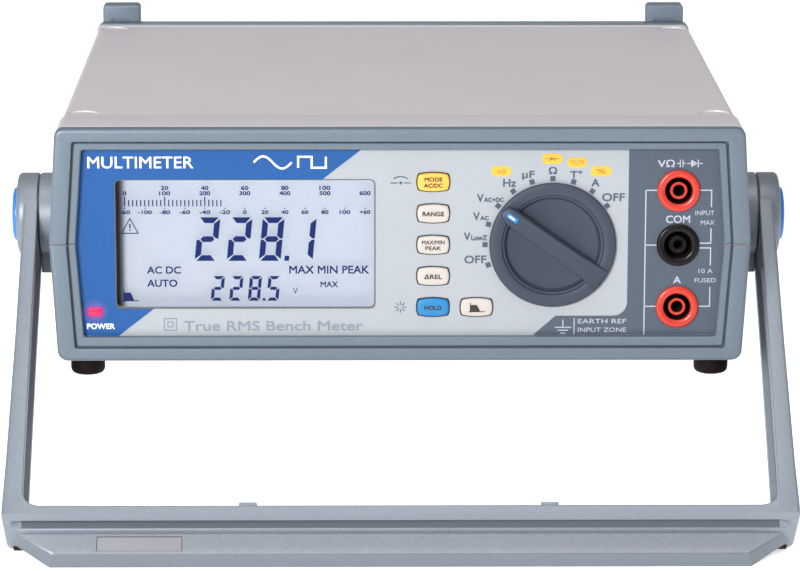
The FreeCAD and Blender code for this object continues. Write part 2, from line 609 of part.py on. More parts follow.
def end_pads():
    """Rubber pads under the two lower corners of the handle, cut flat to the floor."""
    back, face = -size("arm_back"), size("bar_face")
    near, far = face - size("pad_reach"), face + 0.3
    outline = [(-near, back), (-face + 3.4, back), (-far, back + 3.1), (-far, floor_height(far)),
               (-near, floor_height(near))]
    arm = Part.makeBox(300, 40, 40, Vector(-150, -face, back))
    arm_corner = extruded([(-face - 1, back + 4), (-face + 3.2, back - 0.4), (-face - 1, back - 0.4)], -150, 300)
    arm = arm.cut(arm_corner)
    pads = [extruded(outline, start, size("pad_width")).cut(arm)
            for start in (-size("pad_left") - size("pad_width"), size("pad_left"))]
    feature = doc.addObject("Part::Feature", "EndPads")
    feature.Shape = Part.makeCompound(pads)
    return feature


def build_crossbar():
    plate_z = -size("lip_top") - 0.6
    seat = block("Sizes.plate_length", "Sizes.plate_depth", "0.8",
                 size("plate_left"), size("plate_front"), plate_z)
    tabs = [block("Sizes.tab_width", "1.4", "6", size(place) - size("tab_width") / 2,
                  -size("bar_inner") - 0.2, size("tab_z")) for place in ("tab_left", "tab_right")]
    sub_part(cut(fuse(crossbar(), crossbar_lip(), *tabs), seat), "crossbar", HANDLE)
    plate = block("Sizes.plate_length - 0.2", "Sizes.plate_depth - 0.2", "Sizes.plate_thickness",
                  size("plate_left") + 0.1, size("plate_front") + 0.1, plate_z)
    sub_part(plate, "name_plate", HANDLE)
    sub_part(end_pads(), "end_pads", HANDLE)


def build_pivots():
    """Fixed bosses on the case sides, and the headed shafts the handle turns on."""
    bosses, shafts = [], []
    y, thickness = size("pivot_y"), "Sizes.fixed_boss_out - Sizes.fixed_boss_in"
    for sign in (-1, 1):
        turn, start = side_turn(sign), sign * size("fixed_boss_in")
        disc = rod("Sizes.hub_radius", thickness, start, y, 0, turn)
        lug_x = start if sign > 0 else -size("fixed_boss_out")
        lug = block(thickness, "12", "Sizes.stop_drop", lug_x, y - 6, -size("stop_drop"))
        bore = rod("Sizes.pivot_radius + 0.1", "20", sign * 125, y, 0, turn)
        bosses.append(cut(fuse(disc, lug), bore))
        shaft = rod("Sizes.pivot_radius", "Sizes.button_floor - 122", sign * 122, y, 0, turn)
        head = rod("6.5", "1.4", sign * (size("button_floor") + 0.1), y, 0, turn)
        neck = rod("Sizes.pivot_radius", "1", sign * (size("button_floor") - 0.5), y, 0, turn)
        flange = rod("7.5", "2.4", sign * 124, y, 0, turn)
        shafts.append(fuse(shaft, head, neck, flange))
    sub_part(group(*bosses), "pivot_bosses")
    sub_part(group(*shafts), "pivot_shafts")


def build_releases():
    """Domed hollow buttons in the hubs, each with the spring behind it."""
    rise, rim, cavity = "Sizes.button_out - Sizes.button_in", "Sizes.button_radius - 1.6", "2.9"
    length = size("button_in") + float(cavity) - size("button_floor") - 0.04
    for label, sign in (("left_release", -1), ("right_release", 1)):
        button = revolve(label, [
            (rim, "0"), ("Sizes.button_radius", "0"), ("Sizes.button_radius", f"{rise} - Sizes.button_dome"),
            ("Sizes.button_radius - 2.6", rise), ("0", rise), ("0", cavity), (rim, cavity)])
        turn = side_turn(sign)
        sub_part(button, label, HANDLE, at(sign * size("button_in"), 0, 0, turn))
        coil_x = sign * (size("button_floor") + 0.02)
        coil = cut(rod("Sizes.spring_outer", length, coil_x, 0, 0, turn),
                   rod("Sizes.spring_inner", length, coil_x, 0, 0, turn))
        sub_part(coil, label + "_spring", HANDLE)


def build_handle():
    handle_arm("left_arm", -1)
    handle_arm("right_arm", 1)
    build_crossbar()
    build_pivots()
    build_releases()


# ------------------------------------------------------------------ rear fittings

def build_inlet():
    """Mains inlet with its three pins, and a drawer that carries the mains fuse."""
    panel_y = size("case_depth") - size("rim_depth")
    x, z = size("inlet_x"), size("inlet_z")
    left, low = x - size("inlet_width") / 2, z - size("inlet_height") / 2
    inset, fit = size("core_inset"), size("drawer_fit")
    flange = block("Sizes.inlet_width", "Sizes.inlet_flange", "Sizes.inlet_height", left, panel_y, low)
    core = block("Sizes.inlet_width - 2 * Sizes.core_inset", "Sizes.core_depth",
                 "Sizes.inlet_height - 2 * Sizes.core_inset",
                 left + inset, panel_y - size("core_depth"), low + inset)
    cord_left = x - size("cord_width") / 2
    cord = block("Sizes.cord_width", "Sizes.cord_depth + 3", "Sizes.cord_height", cord_left,
                 panel_y - size("cord_depth"), z - 17)
    slot = block("Sizes.cord_width + 2 * Sizes.drawer_fit", "21", "Sizes.drawer_height + 2 * Sizes.drawer_fit",
                 cord_left - fit, panel_y - 18, z + size("drawer_rise") - fit)
    pins = [block("2", "Sizes.pin_length", "4", x + across - 1, panel_y - 19, z + up - 2)
            for across, up in ((-7, -10.5), (7, -10.5), (0, -6.5))]
    sub_part(cut(fuse(flange, core), cord, slot, *pins), "mains_inlet")
    sub_part(group(*pins), "inlet_pins")
    drawer_z = z + size("drawer_rise")
    drawer = fuse(block("Sizes.cord_width", "19", "Sizes.drawer_height", cord_left,
                        panel_y - size("drawer_depth"), drawer_z),
                  block("25", "1.6", "11", x - 12.5, panel_y + 2.7, z + 5.1),
                  block("Sizes.cord_width", "1", "Sizes.drawer_height", cord_left, panel_y + 2.2, drawer_z))
    fuse_slot = block("20.4", "5.6", "6", x - 10.2, panel_y - 12, z + 9.2)
    sub_part(cut(drawer, fuse_slot), "fuse_drawer")
    sub_part(rod("2.6", "20", x - 10, panel_y - 9.2, z + 12.1, TO_RIGHT), "mains_fuse")


def build_fuse_holder():
    """Tubular holder for the current range's fuse, with a slotted cap."""
    panel_y = size("case_depth") - size("rim_depth")
    x, z, length = size("fuse_x"), size("fuse_z"), size("fuse_length") + 8
    tube = fuse(rod("Sizes.fuse_body_radius", length, x, panel_y + size("fuse_flange") - length, z, REARWARD),
                rod("Sizes.fuse_cap_radius", "Sizes.fuse_flange", x, panel_y, z, REARWARD))
    bore = rod("Sizes.fuse_radius + 1.2", length, x, panel_y + 3.5 - length, z, REARWARD)
    sub_part(cut(tube, bore), "amp_fuse_holder")
    cap = fuse(rod("Sizes.fuse_cap_radius - 0.4", "Sizes.cap_height", x, panel_y + 1.8, z, REARWARD),
               rod("Sizes.fuse_radius + 1", "Sizes.cap_plug", x, panel_y - 3.9, z, REARWARD))
    slot = block("12", "2", "1.6", x - 6, panel_y + 5, z - 0.8)
    sub_part(cut(cap, slot), "amp_fuse_cap")
    fuse_y = panel_y - 4.2 - size("fuse_length")
    sub_part(rod("Sizes.fuse_radius", "Sizes.fuse_length", x, fuse_y, z, REARWARD), "amp_fuse")


# ------------------------------------------------------------------ inside

def build_main_board():
    """Main board on its standoffs, over the floor of the lower shell."""
    top, half, thickness = size("main_board_z"), size("main_board_half"), size("board_thickness")
    front, rear = size("main_board_front"), size("main_board_rear")
    margin = size("standoff_margin")
    places = [(sign * (half - size("standoff_inset")), y) for sign in (-1, 1)
              for y in (front + margin, (front + rear) / 2, rear - margin)]
    board = block("2 * Sizes.main_board_half", rear - front, "Sizes.board_thickness",
                  -half, front, top - thickness)
    sub_part(cut(board, *[rod("1.7", "4", x, y, top - 3) for x, y in places]), "main_board")
    floor = -size("case_bottom") + size("wall")
    rise = top - thickness - floor
    standoffs = [cut(rod("Sizes.standoff_radius", rise, x, y, floor), rod("1.5", rise, x, y, floor + 1))
                 for x, y in places]
    sub_part(group(*standoffs), "board_standoffs")
    screws = [fuse(rod("2.8", "2", x, y, top), rod("1.4", "6", x, y, top - 5.5)) for x, y in places]
    sub_part(group(*screws), "board_screws")


def build_transformer():
    top, x, y = size("main_board_z"), size("core_x"), size("core_y")
    thickness, limb = size("core_thickness"), size("limb")
    core = block("Sizes.core_length", "Sizes.core_thickness", "Sizes.core_height",
                 x - size("core_length") / 2, y - thickness / 2, top)
    windows = [block("Sizes.limb", "Sizes.core_thickness", "3 * Sizes.limb", left, y - thickness / 2, top + limb)
               for left in (x - 2 * limb, x + limb)]
    sub_part(cut(core, *windows), "transformer_core")
    coil = block("4 * Sizes.limb - 0.4", "Sizes.coil_depth", "3 * Sizes.limb - 0.4",
                 x - 2 * limb + 0.2, y - size("coil_depth") / 2, top + limb + 0.2)
    around_core = block("2 * Sizes.limb + 0.2", "Sizes.core_thickness + 0.4", "30",
                        x - limb - 0.1, y - thickness / 2 - 0.2, top + limb - 1)
    sub_part(cut(coil, around_core), "transformer_windings")


def build_board_parts():
    """Capacitors, relays, converter chips, current shunt and the ribbon to the front board."""
    top = size("main_board_z")
    cans = [rod("8", "25", 0, 205, top), rod("8", "25", 20, 205, top), rod("5", "12", 38, 205, top)]
    sub_part(group(*cans), "capacitors")
    sub_part(group(*[block("12", "20", "11", 60, y, top) for y in (70, 96, 122)]), "relays")
    chips = [block("14", "14", "2", -40, 90, top), block("10", "10", "2", -10, 96, top),
             block("8", "18", "3", -70, 84, top), block("10", "10", "2", 20, 130, top)]
    sub_part(group(*chips), "converter_chips")
    legs = [block("1.5", "6", "14", x, 60, top) for x in (84, 98)]
    sub_part(fuse(*legs, block("15.5", "6", "1.5", 84, 60, top + 12.5)), "current_shunt")
    board_back = size("front_board_y") + size("board_thickness")
    across = block("30", "12", "0.9", -45, board_back, -10)
    down = block("30", "0.9", -top - 9.1, -45, board_back + 11.1, top)
    sub_part(fuse(across, down), "ribbon_cable")


# ------------------------------------------------------------------ assembly, checks and export

def stand_on_floor():
    """Move everything so that the origin is in the middle of the box's base."""
    doc.recompute()
    box = FreeCAD.BoundBox()
    for node in NODES:
        box.add(node.Shape.optimalBoundingBox(False))
    shift = at(-box.Center.x, -box.Center.y, -box.ZMin)
    for node in NODES:
        node.Placement = shift.multiply(node.Placement)
    doc.recompute()
    return shift


def check():
    for feature in doc.Objects:
        if "Invalid" in feature.State or "Error" in feature.State:
            raise RuntimeError(f"{feature.Label} failed: {feature.State}")
    for node in NODES:
        if node.Shape.isNull() or not node.Shape.isValid() or not node.Shape.Solids:
            raise RuntimeError(f"{node.Label} has no valid solid")


def report(shift):
    """Print the joint axes in the standing frame, in metres."""
    stand = shift.multiply(at(turn=Rotation(X_AXIS, -size("stand_tilt"))))

    def row(*point):
        return [round(c / 1000, 6) for c in stand.multVec(Vector(*point))]

    rearward = stand.Rotation.multVec(Y_AXIS)
    print("pivot", row(0, size("pivot_y"), 0))
    print("knob", row(size("knob_x"), size("rim_depth"), size("knob_z")))
    print("fuse cap", row(size("fuse_x"), size("case_depth"), size("fuse_z")))
    print("case rearward", [round(c, 8) for c in rearward])
    print("case up", [round(c, 8) for c in stand.Rotation.multVec(Z_AXIS)])
    for label, height in JACKS.items():
        print(label, row(size("jack_x"), size("rim_depth") + 8, size(height)))
    print("rear foot heel", row(size("foot_x"), size("foot_rear") + size("foot_radius"),
                                -size("case_bottom") - size("foot_height")))


build_case()
build_feet()
build_display()
build_keys()
build_knob()
build_sockets()
build_handle()
build_inlet()
build_fuse_holder()
build_main_board()
build_transformer()
build_board_parts()
moved = stand_on_floor()
check()
report(moved)
os.makedirs("parts", exist_ok=True)
for node in NODES:
    node.Shape.exportStep(f"parts/{node.Label}.step")
print(len(NODES), "sub-parts")
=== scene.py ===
"""Bench multimeter standing on its handle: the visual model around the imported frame."""

import json
import math

import bmesh
import bpy
from mathutils import Matrix, Vector


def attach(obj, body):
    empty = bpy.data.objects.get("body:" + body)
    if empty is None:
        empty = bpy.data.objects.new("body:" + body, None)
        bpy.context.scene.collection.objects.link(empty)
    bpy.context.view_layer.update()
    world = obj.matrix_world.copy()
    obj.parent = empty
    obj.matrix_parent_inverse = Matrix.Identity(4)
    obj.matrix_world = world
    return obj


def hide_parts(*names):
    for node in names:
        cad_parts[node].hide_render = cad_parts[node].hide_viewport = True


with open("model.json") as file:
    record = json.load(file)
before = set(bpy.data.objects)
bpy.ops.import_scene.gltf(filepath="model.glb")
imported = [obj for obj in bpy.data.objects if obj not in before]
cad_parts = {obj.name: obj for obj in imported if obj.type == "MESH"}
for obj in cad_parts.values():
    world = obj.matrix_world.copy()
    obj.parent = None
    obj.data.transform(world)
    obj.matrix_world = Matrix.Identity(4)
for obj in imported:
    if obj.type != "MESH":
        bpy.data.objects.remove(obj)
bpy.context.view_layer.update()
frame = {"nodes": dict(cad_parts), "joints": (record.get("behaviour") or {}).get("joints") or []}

# ---- local frames, in millimetres

JOINTS = {joint["name"]: joint for joint in frame["joints"]}
PIVOT_BACK = 57.0          # handle pivot behind the front rim
HANDLE_DROP = 49.3         # handle arms below the case's own horizontal, in degrees
PANEL_Y = 4.5              # face of the front panel behind the front rim
REAR_Y = 251.5             # face of the rear panel behind the front rim


def case_frame():
    """X to the right, Y to the rear from the front rim, Z up from the parting line."""
    rear = Vector(JOINTS["knob_turn"]["axis"]).normalized()
    up = Vector((1, 0, 0)).cross(rear)
    turn = Matrix((Vector((1, 0, 0)), rear, up)).transposed().to_4x4()
    pivot = Matrix.Translation(JOINTS["handle_swing"]["pos_m"])
    return pivot @ turn @ Matrix.Scale(0.001, 4) @ Matrix.Translation((0, -PIVOT_BACK, 0))


def turned_by(degrees, axis):
    return Matrix.Rotation(math.radians(degrees), 4, axis)


def moved(x=0.0, y=0.0, z=0.0):
    return Matrix.Translation((x, y, z))


CASE = case_frame()
HANDLE = CASE @ moved(y=PIVOT_BACK) @ turned_by(HANDLE_DROP, "X")


def facing_front(x=0.0, z=0.0, y=PANEL_Y):
    """Drawing plane seen from the front: x right, y up, z towards the viewer."""
    return CASE @ moved(x, y, z) @ turned_by(90, "X")


def facing_rear():
    """Drawing plane seen from behind: x right, y up, z towards the viewer."""
    return CASE @ moved(y=REAR_Y) @ turned_by(180, "Z") @ turned_by(90, "X")


def outwards(sign, x, y=0.0):
    """Lathe axis along the pivots, away from the case on the side that sign gives."""
    return moved(sign * x, y) @ turned_by(sign * 90, "Y")


WINDOW = (-105.2, -24.75, -9.5, 23.55)      # display opening: left, low, right, top
LED = (-113.2, -26.3, 5.6, 3.4)             # power lamp: centre and size

# ---- outlines

STRAIGHT = math.radians(89.7)      # half angle above which a corner counts as straight


def soft(points, steps=5, closed=True):
    """Corners given as (x, y, radius) become arcs; (x, y) stays sharp."""
    out = []
    count = len(points)
    for i, point in enumerate(points):
        radius = point[2] if len(point) > 2 else 0.0
        here = Vector(point[:2])
        if radius <= 0 or (not closed and i in (0, count - 1)):
            out.append(here)
            continue
        to_last = Vector(points[i - 1][:2]) - here
        to_next = Vector(points[(i + 1) % count][:2]) - here
        half = to_last.angle(to_next) / 2
        if half > STRAIGHT:
            out += [here] * (steps + 1)
            continue
        reach = min(radius / math.tan(half), 0.49 * to_last.length, 0.49 * to_next.length)
        radius = reach * math.tan(half)
        start, end = here + to_last.normalized() * reach, here + to_next.normalized() * reach
        centre = here + (to_last.normalized() + to_next.normalized()).normalized() * radius / math.sin(half)
        first, last = start - centre, end - centre
        sweep = first.angle_signed(last)
        for k in range(steps + 1):
            out.append(centre + Matrix.Rotation(-sweep * k / steps, 2) @ first)
    return out


def box_outline(x0, y0, x1, y1, radius=0.0):
    return soft([(x0, y0, radius), (x1, y0, radius), (x1, y1, radius), (x0, y1, radius)])


def ring_outline(radius, count=64, x=0.0, y=0.0, turn=0.0):
    angles = [turn + 2 * math.pi * i / count for i in range(count)]
    return [Vector((x + radius * math.cos(a), y + radius * math.sin(a))) for a in angles]


def lifted(outline, z):
    return [Vector((p[0], p[1], z)) for p in outline]


# ---- meshes

def linked(name, data):
    obj = bpy.data.objects.new(name, data)
    bpy.context.scene.collection.objects.link(obj)
    return obj


def evaluated(obj):
    """New mesh of an object with its modifiers applied."""
    bpy.context.view_layer.update()
    return bpy.data.meshes.new_from_object(obj.evaluated_get(bpy.context.evaluated_depsgraph_get()))


def finished(bm):
    bmesh.ops.remove_doubles(bm, verts=bm.verts, dist=1e-4)
    bmesh.ops.recalc_face_normals(bm, faces=bm.faces)
    mesh = bpy.data.meshes.new("mesh")
    bm.to_mesh(mesh)
    bm.free()
    return mesh


def skin(loops, ring=False, closed=True, caps=True):
    """Quads through equal loops of points, capped into a solid."""
    bm = bmesh.new()
    rows = [[bm.verts.new(p) for p in loop] for loop in loops]
    count = len(rows[0])
    follow = rows[1:] + ([rows[0]] if ring else [])
    for near, far in zip(rows, follow):
        for i in range(count if closed else count - 1):
            j = (i + 1) % count
            bm.faces.new((near[i], near[j], far[j], far[i]))
    if caps and not ring:
        bm.faces.new(rows[0][::-1])
        bm.faces.new(rows[-1])
    if caps and ring and not closed:
        bm.faces.new([row[0] for row in rows])
        bm.faces.new([row[-1] for row in rows][::-1])
    return finished(bm)


def turned(profile, count=72, ring=False):
    """A lathe piece: (radius, height) points spun about local Z."""
    loops = [lifted(ring_outline(max(r, 1e-6), count), z) for r, z in profile]
    return skin(loops, ring=ring, caps=False)


def curve_mesh(data):
    temp = linked("temp", data)
    bm = bmesh.new()
    bm.from_mesh(evaluated(temp))
    bpy.data.objects.remove(temp)
    return finished(bm)


def plate(outlines, low, high, bevel=0.0):
    """Flat piece between two heights; outlines inside others are holes."""
    data = bpy.data.curves.new("plate", "CURVE")
    data.dimensions = "2D"
    data.fill_mode = "BOTH"
    data.extrude = (high - low) / 2 - bevel
    data.bevel_depth = bevel
    data.offset = -bevel
    data.bevel_resolution = 2
    for outline in outlines:
        spline = data.splines.new("POLY")
        spline.points.add(len(outline) - 1)
        for point, place in zip(spline.points, outline):
            point.co = (place[0], place[1], 0, 1)
        spline.use_cyclic_u = True
    mesh = curve_mesh(data)
    mesh.transform(moved(z=(high + low) / 2))
    return mesh


def joined(meshes, slots=None):
    """One mesh of several; slots gives each its material number."""
    bm = bmesh.new()
    for i, mesh in enumerate(meshes):
        first = len(bm.faces)
        bm.from_mesh(mesh)
        bm.faces.ensure_lookup_table()
        for face in bm.faces[first:]:
            face.material_index = slots[i] if slots else 0
    mesh = bpy.data.meshes.new("joined")
    bm.to_mesh(mesh)
    bm.free()
    return mesh


def shifted(mesh, matrix):
    copy = mesh.copy()
    copy.transform(matrix)
    return copy


def combined(base, others, operation):
    """Exact boolean of a mesh with other meshes."""
    target = linked("target", base)
    helpers = [linked("helper", mesh) for mesh in others]
    for helper in helpers:
        modifier = target.modifiers.new("boolean", "BOOLEAN")
        modifier.object = helper
        modifier.operation = operation
        modifier.solver = "EXACT"
    mesh = evaluated(target)
    for item in [target, *helpers]:
        bpy.data.objects.remove(item)
    return mesh


def piece(name, mesh, place, body, materials, stands_for=(), smooth=32.0):
    """Move a finished mesh from its drawing frame to its place on a body."""
    mesh.transform(place)
    mesh.name = name
    mesh.polygons.foreach_set("use_smooth", [True] * len(mesh.polygons))
    mesh.set_sharp_from_angle(angle=math.radians(smooth))
    obj = linked(name, mesh)
    for material in materials if isinstance(materials, list) else [materials]:
        mesh.materials.append(material)
    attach(obj, body)
    if stands_for:
        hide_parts(*stands_for)


def panel_piece(name, mesh, material, y=PANEL_Y, stands_for=()):
    """A piece drawn on the front panel's plane."""
    piece(name, mesh, facing_front(y=y), "case", M[material], stands_for)


# ---- lettering and signs

INK = 0.1           # thickness of a print
FILM = 0.12         # thickness of a coloured film


def lettering(words, x0, y0, x1, y1, bold=0.0):
    """Words stretched to fill a box; bold ones are printed four times, a little apart."""
    data = bpy.data.curves.new("words", "FONT")
    data.body = words
    data.size = 10
    data.resolution_u = 3
    data.extrude = 0.5
    mesh = curve_mesh(data)
    xs = [v.co.x for v in mesh.vertices]
    ys = [v.co.y for v in mesh.vertices]
    scale_x = (x1 - x0 - 2 * bold) / (max(xs) - min(xs))
    scale_y = (y1 - y0 - 2 * bold) / (max(ys) - min(ys))
    fit = Matrix.Diagonal((scale_x, scale_y, INK, 1.0))
    mesh.transform(moved(x0 + bold, y0 + bold, INK / 2) @ fit @ moved(-min(xs), -min(ys)))
    if not bold:
        return mesh
    layers = [(-bold, -bold), (bold, -bold), (-bold, bold), (bold, bold)]
    return joined([shifted(mesh, moved(x, y, 0.002 * k)) for k, (x, y) in enumerate(layers)])


def stroke(points, width, closed=False):
    """A printed line of even width through the points."""
    out = []
    count = len(points)
    for i, point in enumerate(points):
        here = Vector(point)
        dirs = []
        if i or closed:
            dirs.append((here - Vector(points[i - 1])).normalized())
        if i < count - 1 or closed:
            dirs.append((Vector(points[(i + 1) % count]) - here).normalized())
        along = sum(dirs, Vector((0, 0))).normalized()
        side = Vector((-along.y, along.x))
        widen = 1 / max(0.35, side.dot(Vector((-dirs[0].y, dirs[0].x))))
        out.append((here + side * widen * width / 2, here - side * widen * width / 2))
    left, right = [a for a, _ in out], [b for _, b in out]
    if closed:
        return plate([left, right], 0, INK)
    return plate([left + right[::-1]], 0, INK)


def lines(width, *paths):
    return [stroke(path, width) for path in paths]


def blot(outline):
    return plate([outline], 0, INK)


SEGMENTS = {"1": "bc", "2": "abged", "5": "afgcd", "8": "abcdefg"}


def figure(digit, x, y, width, height, thick, lean):
    """Seven-segment figure with mitred ends, leaning to the right."""
    t, w, h, m = thick, width, height, height / 2
    gap, c = thick * 0.12, thick * 0.18
    top = [(gap + c, h), (w - gap - c, h), (w - t - gap, h - t), (t + gap, h - t)]
    middle = [(t * 0.55 + gap, m), (t + gap, m + t / 2), (w - t - gap, m + t / 2),
              (w - t * 0.55 - gap, m), (w - t - gap, m - t / 2), (t + gap, m - t / 2)]
    side = [(0, h - gap - c), (0, m + gap), (t * 0.45, m + gap), (t, m + t / 2 + gap), (t, h - t - gap)]
    bars = {"a": top, "d": [(px, h - py) for px, py in top], "g": middle, "f": side,
            "b": [(w - px, py) for px, py in side], "e": [(px, h - py) for px, py in side],
            "c": [(w - px, h - py) for px, py in side]}
    return [blot([(x + px + lean * py, y + py) for px, py in bars[name]]) for name in SEGMENTS[digit]]


# ---- materials

def new_material(name):
    material = bpy.data.materials.new(name)
    material.use_nodes = True
    tree = material.node_tree
    return material, tree, tree.nodes["Principled BSDF"]


def coordinates(tree):
    return tree.nodes.new("ShaderNodeTexCoord").outputs["Object"]


def noise(tree, size_mm, detail=2.0, roughness=0.5):
    node = tree.nodes.new("ShaderNodeTexNoise")
    tree.links.new(coordinates(tree), node.inputs["Vector"])
    node.inputs["Scale"].default_value = 1000.0 / size_mm
    node.inputs["Detail"].default_value = detail
    node.inputs["Roughness"].default_value = roughness
    return node.outputs["Fac"]


def ramp(tree, factor, stops):
    node = tree.nodes.new("ShaderNodeValToRGB")
    tree.links.new(factor, node.inputs["Fac"])
    elements = node.color_ramp.elements
    while len(elements) < len(stops):
        elements.new(0.5)
    for element, (place, colour) in zip(elements, stops):
        element.position = place
        element.color = (*colour, 1)
    return node.outputs["Color"]


def between(tree, value, start, end, low=0.0, high=1.0):
    """Low at start and high at end, clamped."""
    node = tree.nodes.new("ShaderNodeMapRange")
    tree.links.new(value, node.inputs["Value"])
    for name, number in (("From Min", start), ("From Max", end), ("To Min", low), ("To Max", high)):
        node.inputs[name].default_value = number
    return node.outputs["Result"]


def spread(tree, grain, low, high):
    """From low to high over the middle of a noise."""
    return between(tree, grain, 0.3, 0.7, low, high)


def relief(tree, height, strength, depth_mm):
    node = tree.nodes.new("ShaderNodeBump")
    tree.links.new(height, node.inputs["Height"])
    node.inputs["Strength"].default_value = strength
    node.inputs["Distance"].default_value = depth_mm / 1000.0
    return node.outputs["Normal"]


def times(tree, first, second):
    """Product of two colours."""
    mix = tree.nodes.new("ShaderNodeMix")
    mix.data_type = "RGBA"
    mix.blend_type = "MULTIPLY"
    mix.inputs["Factor"].default_value = 1.0
    tree.links.new(first, mix.inputs["A"])
    tree.links.new(second, mix.inputs["B"])
    return mix.outputs["Result"]


def shade(colour, factor):
    return tuple(min(1.0, c * factor) for c in colour)


def moulded(name, colour, rough=0.45, grain=0.5, speckle=0.08, bump=0.35, metal=0.0, coat=0.0):
    """Moulded plastic: fine grain in tone, gloss and relief, over a broad faint mottle."""
    material, tree, shader = new_material(name)
    fine = noise(tree, grain, 3.0, 0.6)
    broad = noise(tree, 34.0, 2.0)
    tone = ramp(tree, fine, [(0.32, shade(colour, 1 - speckle)), (0.5, colour),
                             (0.68, shade(colour, 1 + speckle))])
    wide = ramp(tree, broad, [(0.3, (0.965, 0.965, 0.965)), (0.7, (1.0, 1.0, 1.0))])
    tree.links.new(times(tree, tone, wide), shader.inputs["Base Color"])
    tree.links.new(spread(tree, fine, rough - 0.05, rough + 0.07), shader.inputs["Roughness"])
    tree.links.new(relief(tree, fine, bump, 0.03), shader.inputs["Normal"])
    shader.inputs["Metallic"].default_value = metal
    shader.inputs["Coat Weight"].default_value = coat
    return material


def ink(name, colour, speckle=0.05):
    return moulded(name, colour, 0.45, 0.4, speckle, 0.05)


def glowing(name, colour, strength):
    """Lit plastic, or unlit plastic with a painted glow: its own light on top of a faintly mottled lens."""
    material, tree, shader = new_material(name)
    tone = ramp(tree, noise(tree, 0.6), [(0.3, shade(colour, 0.85)), (0.7, colour)])
    tree.links.new(tone, shader.inputs["Base Color"])
    tree.links.new(tone, shader.inputs["Emission Color"])
    shader.inputs["Emission Strength"].default_value = strength
    shader.inputs["Roughness"].default_value = 0.25
    return material


def metal(name, colour, rough):
    """Bare metal with a fine grain in tone and gloss."""
    material, tree, shader = new_material(name)
    fine = noise(tree, 0.4, 3.0)
    tone = ramp(tree, fine, [(0.3, shade(colour, 0.86)), (0.7, colour)])
    tree.links.new(tone, shader.inputs["Base Color"])
    tree.links.new(spread(tree, fine, rough - 0.06, rough + 0.1), shader.inputs["Roughness"])
    tree.links.new(relief(tree, fine, 0.15, 0.01), shader.inputs["Normal"])
    shader.inputs["Metallic"].default_value = 1.0
    return material


def distance_from(tree, place):
    """Distance in metres from a point given in case millimetres."""
    node = tree.nodes.new("ShaderNodeVectorMath")
    node.operation = "DISTANCE"
    tree.links.new(coordinates(tree), node.inputs[0])
    node.inputs[1].default_value = CASE @ Vector(place)
    return node.outputs["Value"]


def blue_film():
    """Blue printed field, lit magenta for a few millimetres round the power lamp."""
    material = moulded("panel_blue", (0.00792, 0.0785, 0.274), 0.42, 0.8, 0.06, 0.12)
    tree = material.node_tree
    shader = tree.nodes["Principled BSDF"]
    halo = between(tree, distance_from(tree, (LED[0], PANEL_Y, LED[1])), 0.0052, 0.0018)
    glow = ramp(tree, halo, [(0.0, (0.0, 0.0, 0.0)), (0.5, (0.10, 0.0, 0.03)), (1.0, (0.34, 0.004, 0.07))])
    tree.links.new(glow, shader.inputs["Emission Color"])
    shader.inputs["Emission Strength"].default_value = 0.8
    return material


def lit_display():
    """Backlit cell: pale blue, even, and shaded along the deep left edge of its recess."""
    material, tree, shader = new_material("lcd_cell")
    split = tree.nodes.new("ShaderNodeSeparateXYZ")
    tree.links.new(coordinates(tree), split.inputs["Vector"])
    edge = between(tree, split.outputs["X"], (WINDOW[0] + 0.9) / 1000, (WINDOW[0] + 4.2) / 1000)
    grain = noise(tree, 1.2)
    tone = ramp(tree, grain, [(0.3, (0.633, 0.633, 0.634)), (0.7, (0.654, 0.652, 0.651))])
    dim = ramp(tree, edge, [(0.0, (0.0, 0.0, 0.0)), (0.35, (0.2, 0.2, 0.2)), (0.7, (0.8, 0.8, 0.8)),
                            (1.0, (1.0, 1.0, 1.0))])
    colour = times(tree, tone, dim)
    tree.links.new(colour, shader.inputs["Base Color"])
    tree.links.new(colour, shader.inputs["Emission Color"])
    shader.inputs["Emission Strength"].default_value = 0.36
    tree.links.new(spread(tree, grain, 0.35, 0.45), shader.inputs["Roughness"])
    return material


def clear_pane():
    """Thin clear window: mostly transparent, with a faint gloss and hairline smears."""
    material, tree, shader = new_material("clear_pane")
    see_through = tree.nodes.new("ShaderNodeBsdfTransparent")
    see_through.inputs["Color"].default_value = (0.97, 0.98, 1.0, 1)
    fresnel = tree.nodes.new("ShaderNodeFresnel")
    fresnel.inputs["IOR"].default_value = 1.12
    blend = tree.nodes.new("ShaderNodeMixShader")
    smear = noise(tree, 9.0, 3.0)
    tree.links.new(spread(tree, smear, 0.04, 0.12), shader.inputs["Roughness"])
    tree.links.new(ramp(tree, smear, [(0.3, (0.8, 0.84, 0.9)), (0.7, (0.9, 0.93, 0.97))]),
                   shader.inputs["Base Color"])
    tree.links.new(fresnel.outputs["Fac"], blend.inputs["Fac"])
    tree.links.new(see_through.outputs["BSDF"], blend.inputs[1])
    tree.links.new(shader.outputs["BSDF"], blend.inputs[2])
    tree.links.new(blend.outputs["Shader"], tree.nodes["Material Output"].inputs["Surface"])
    return material


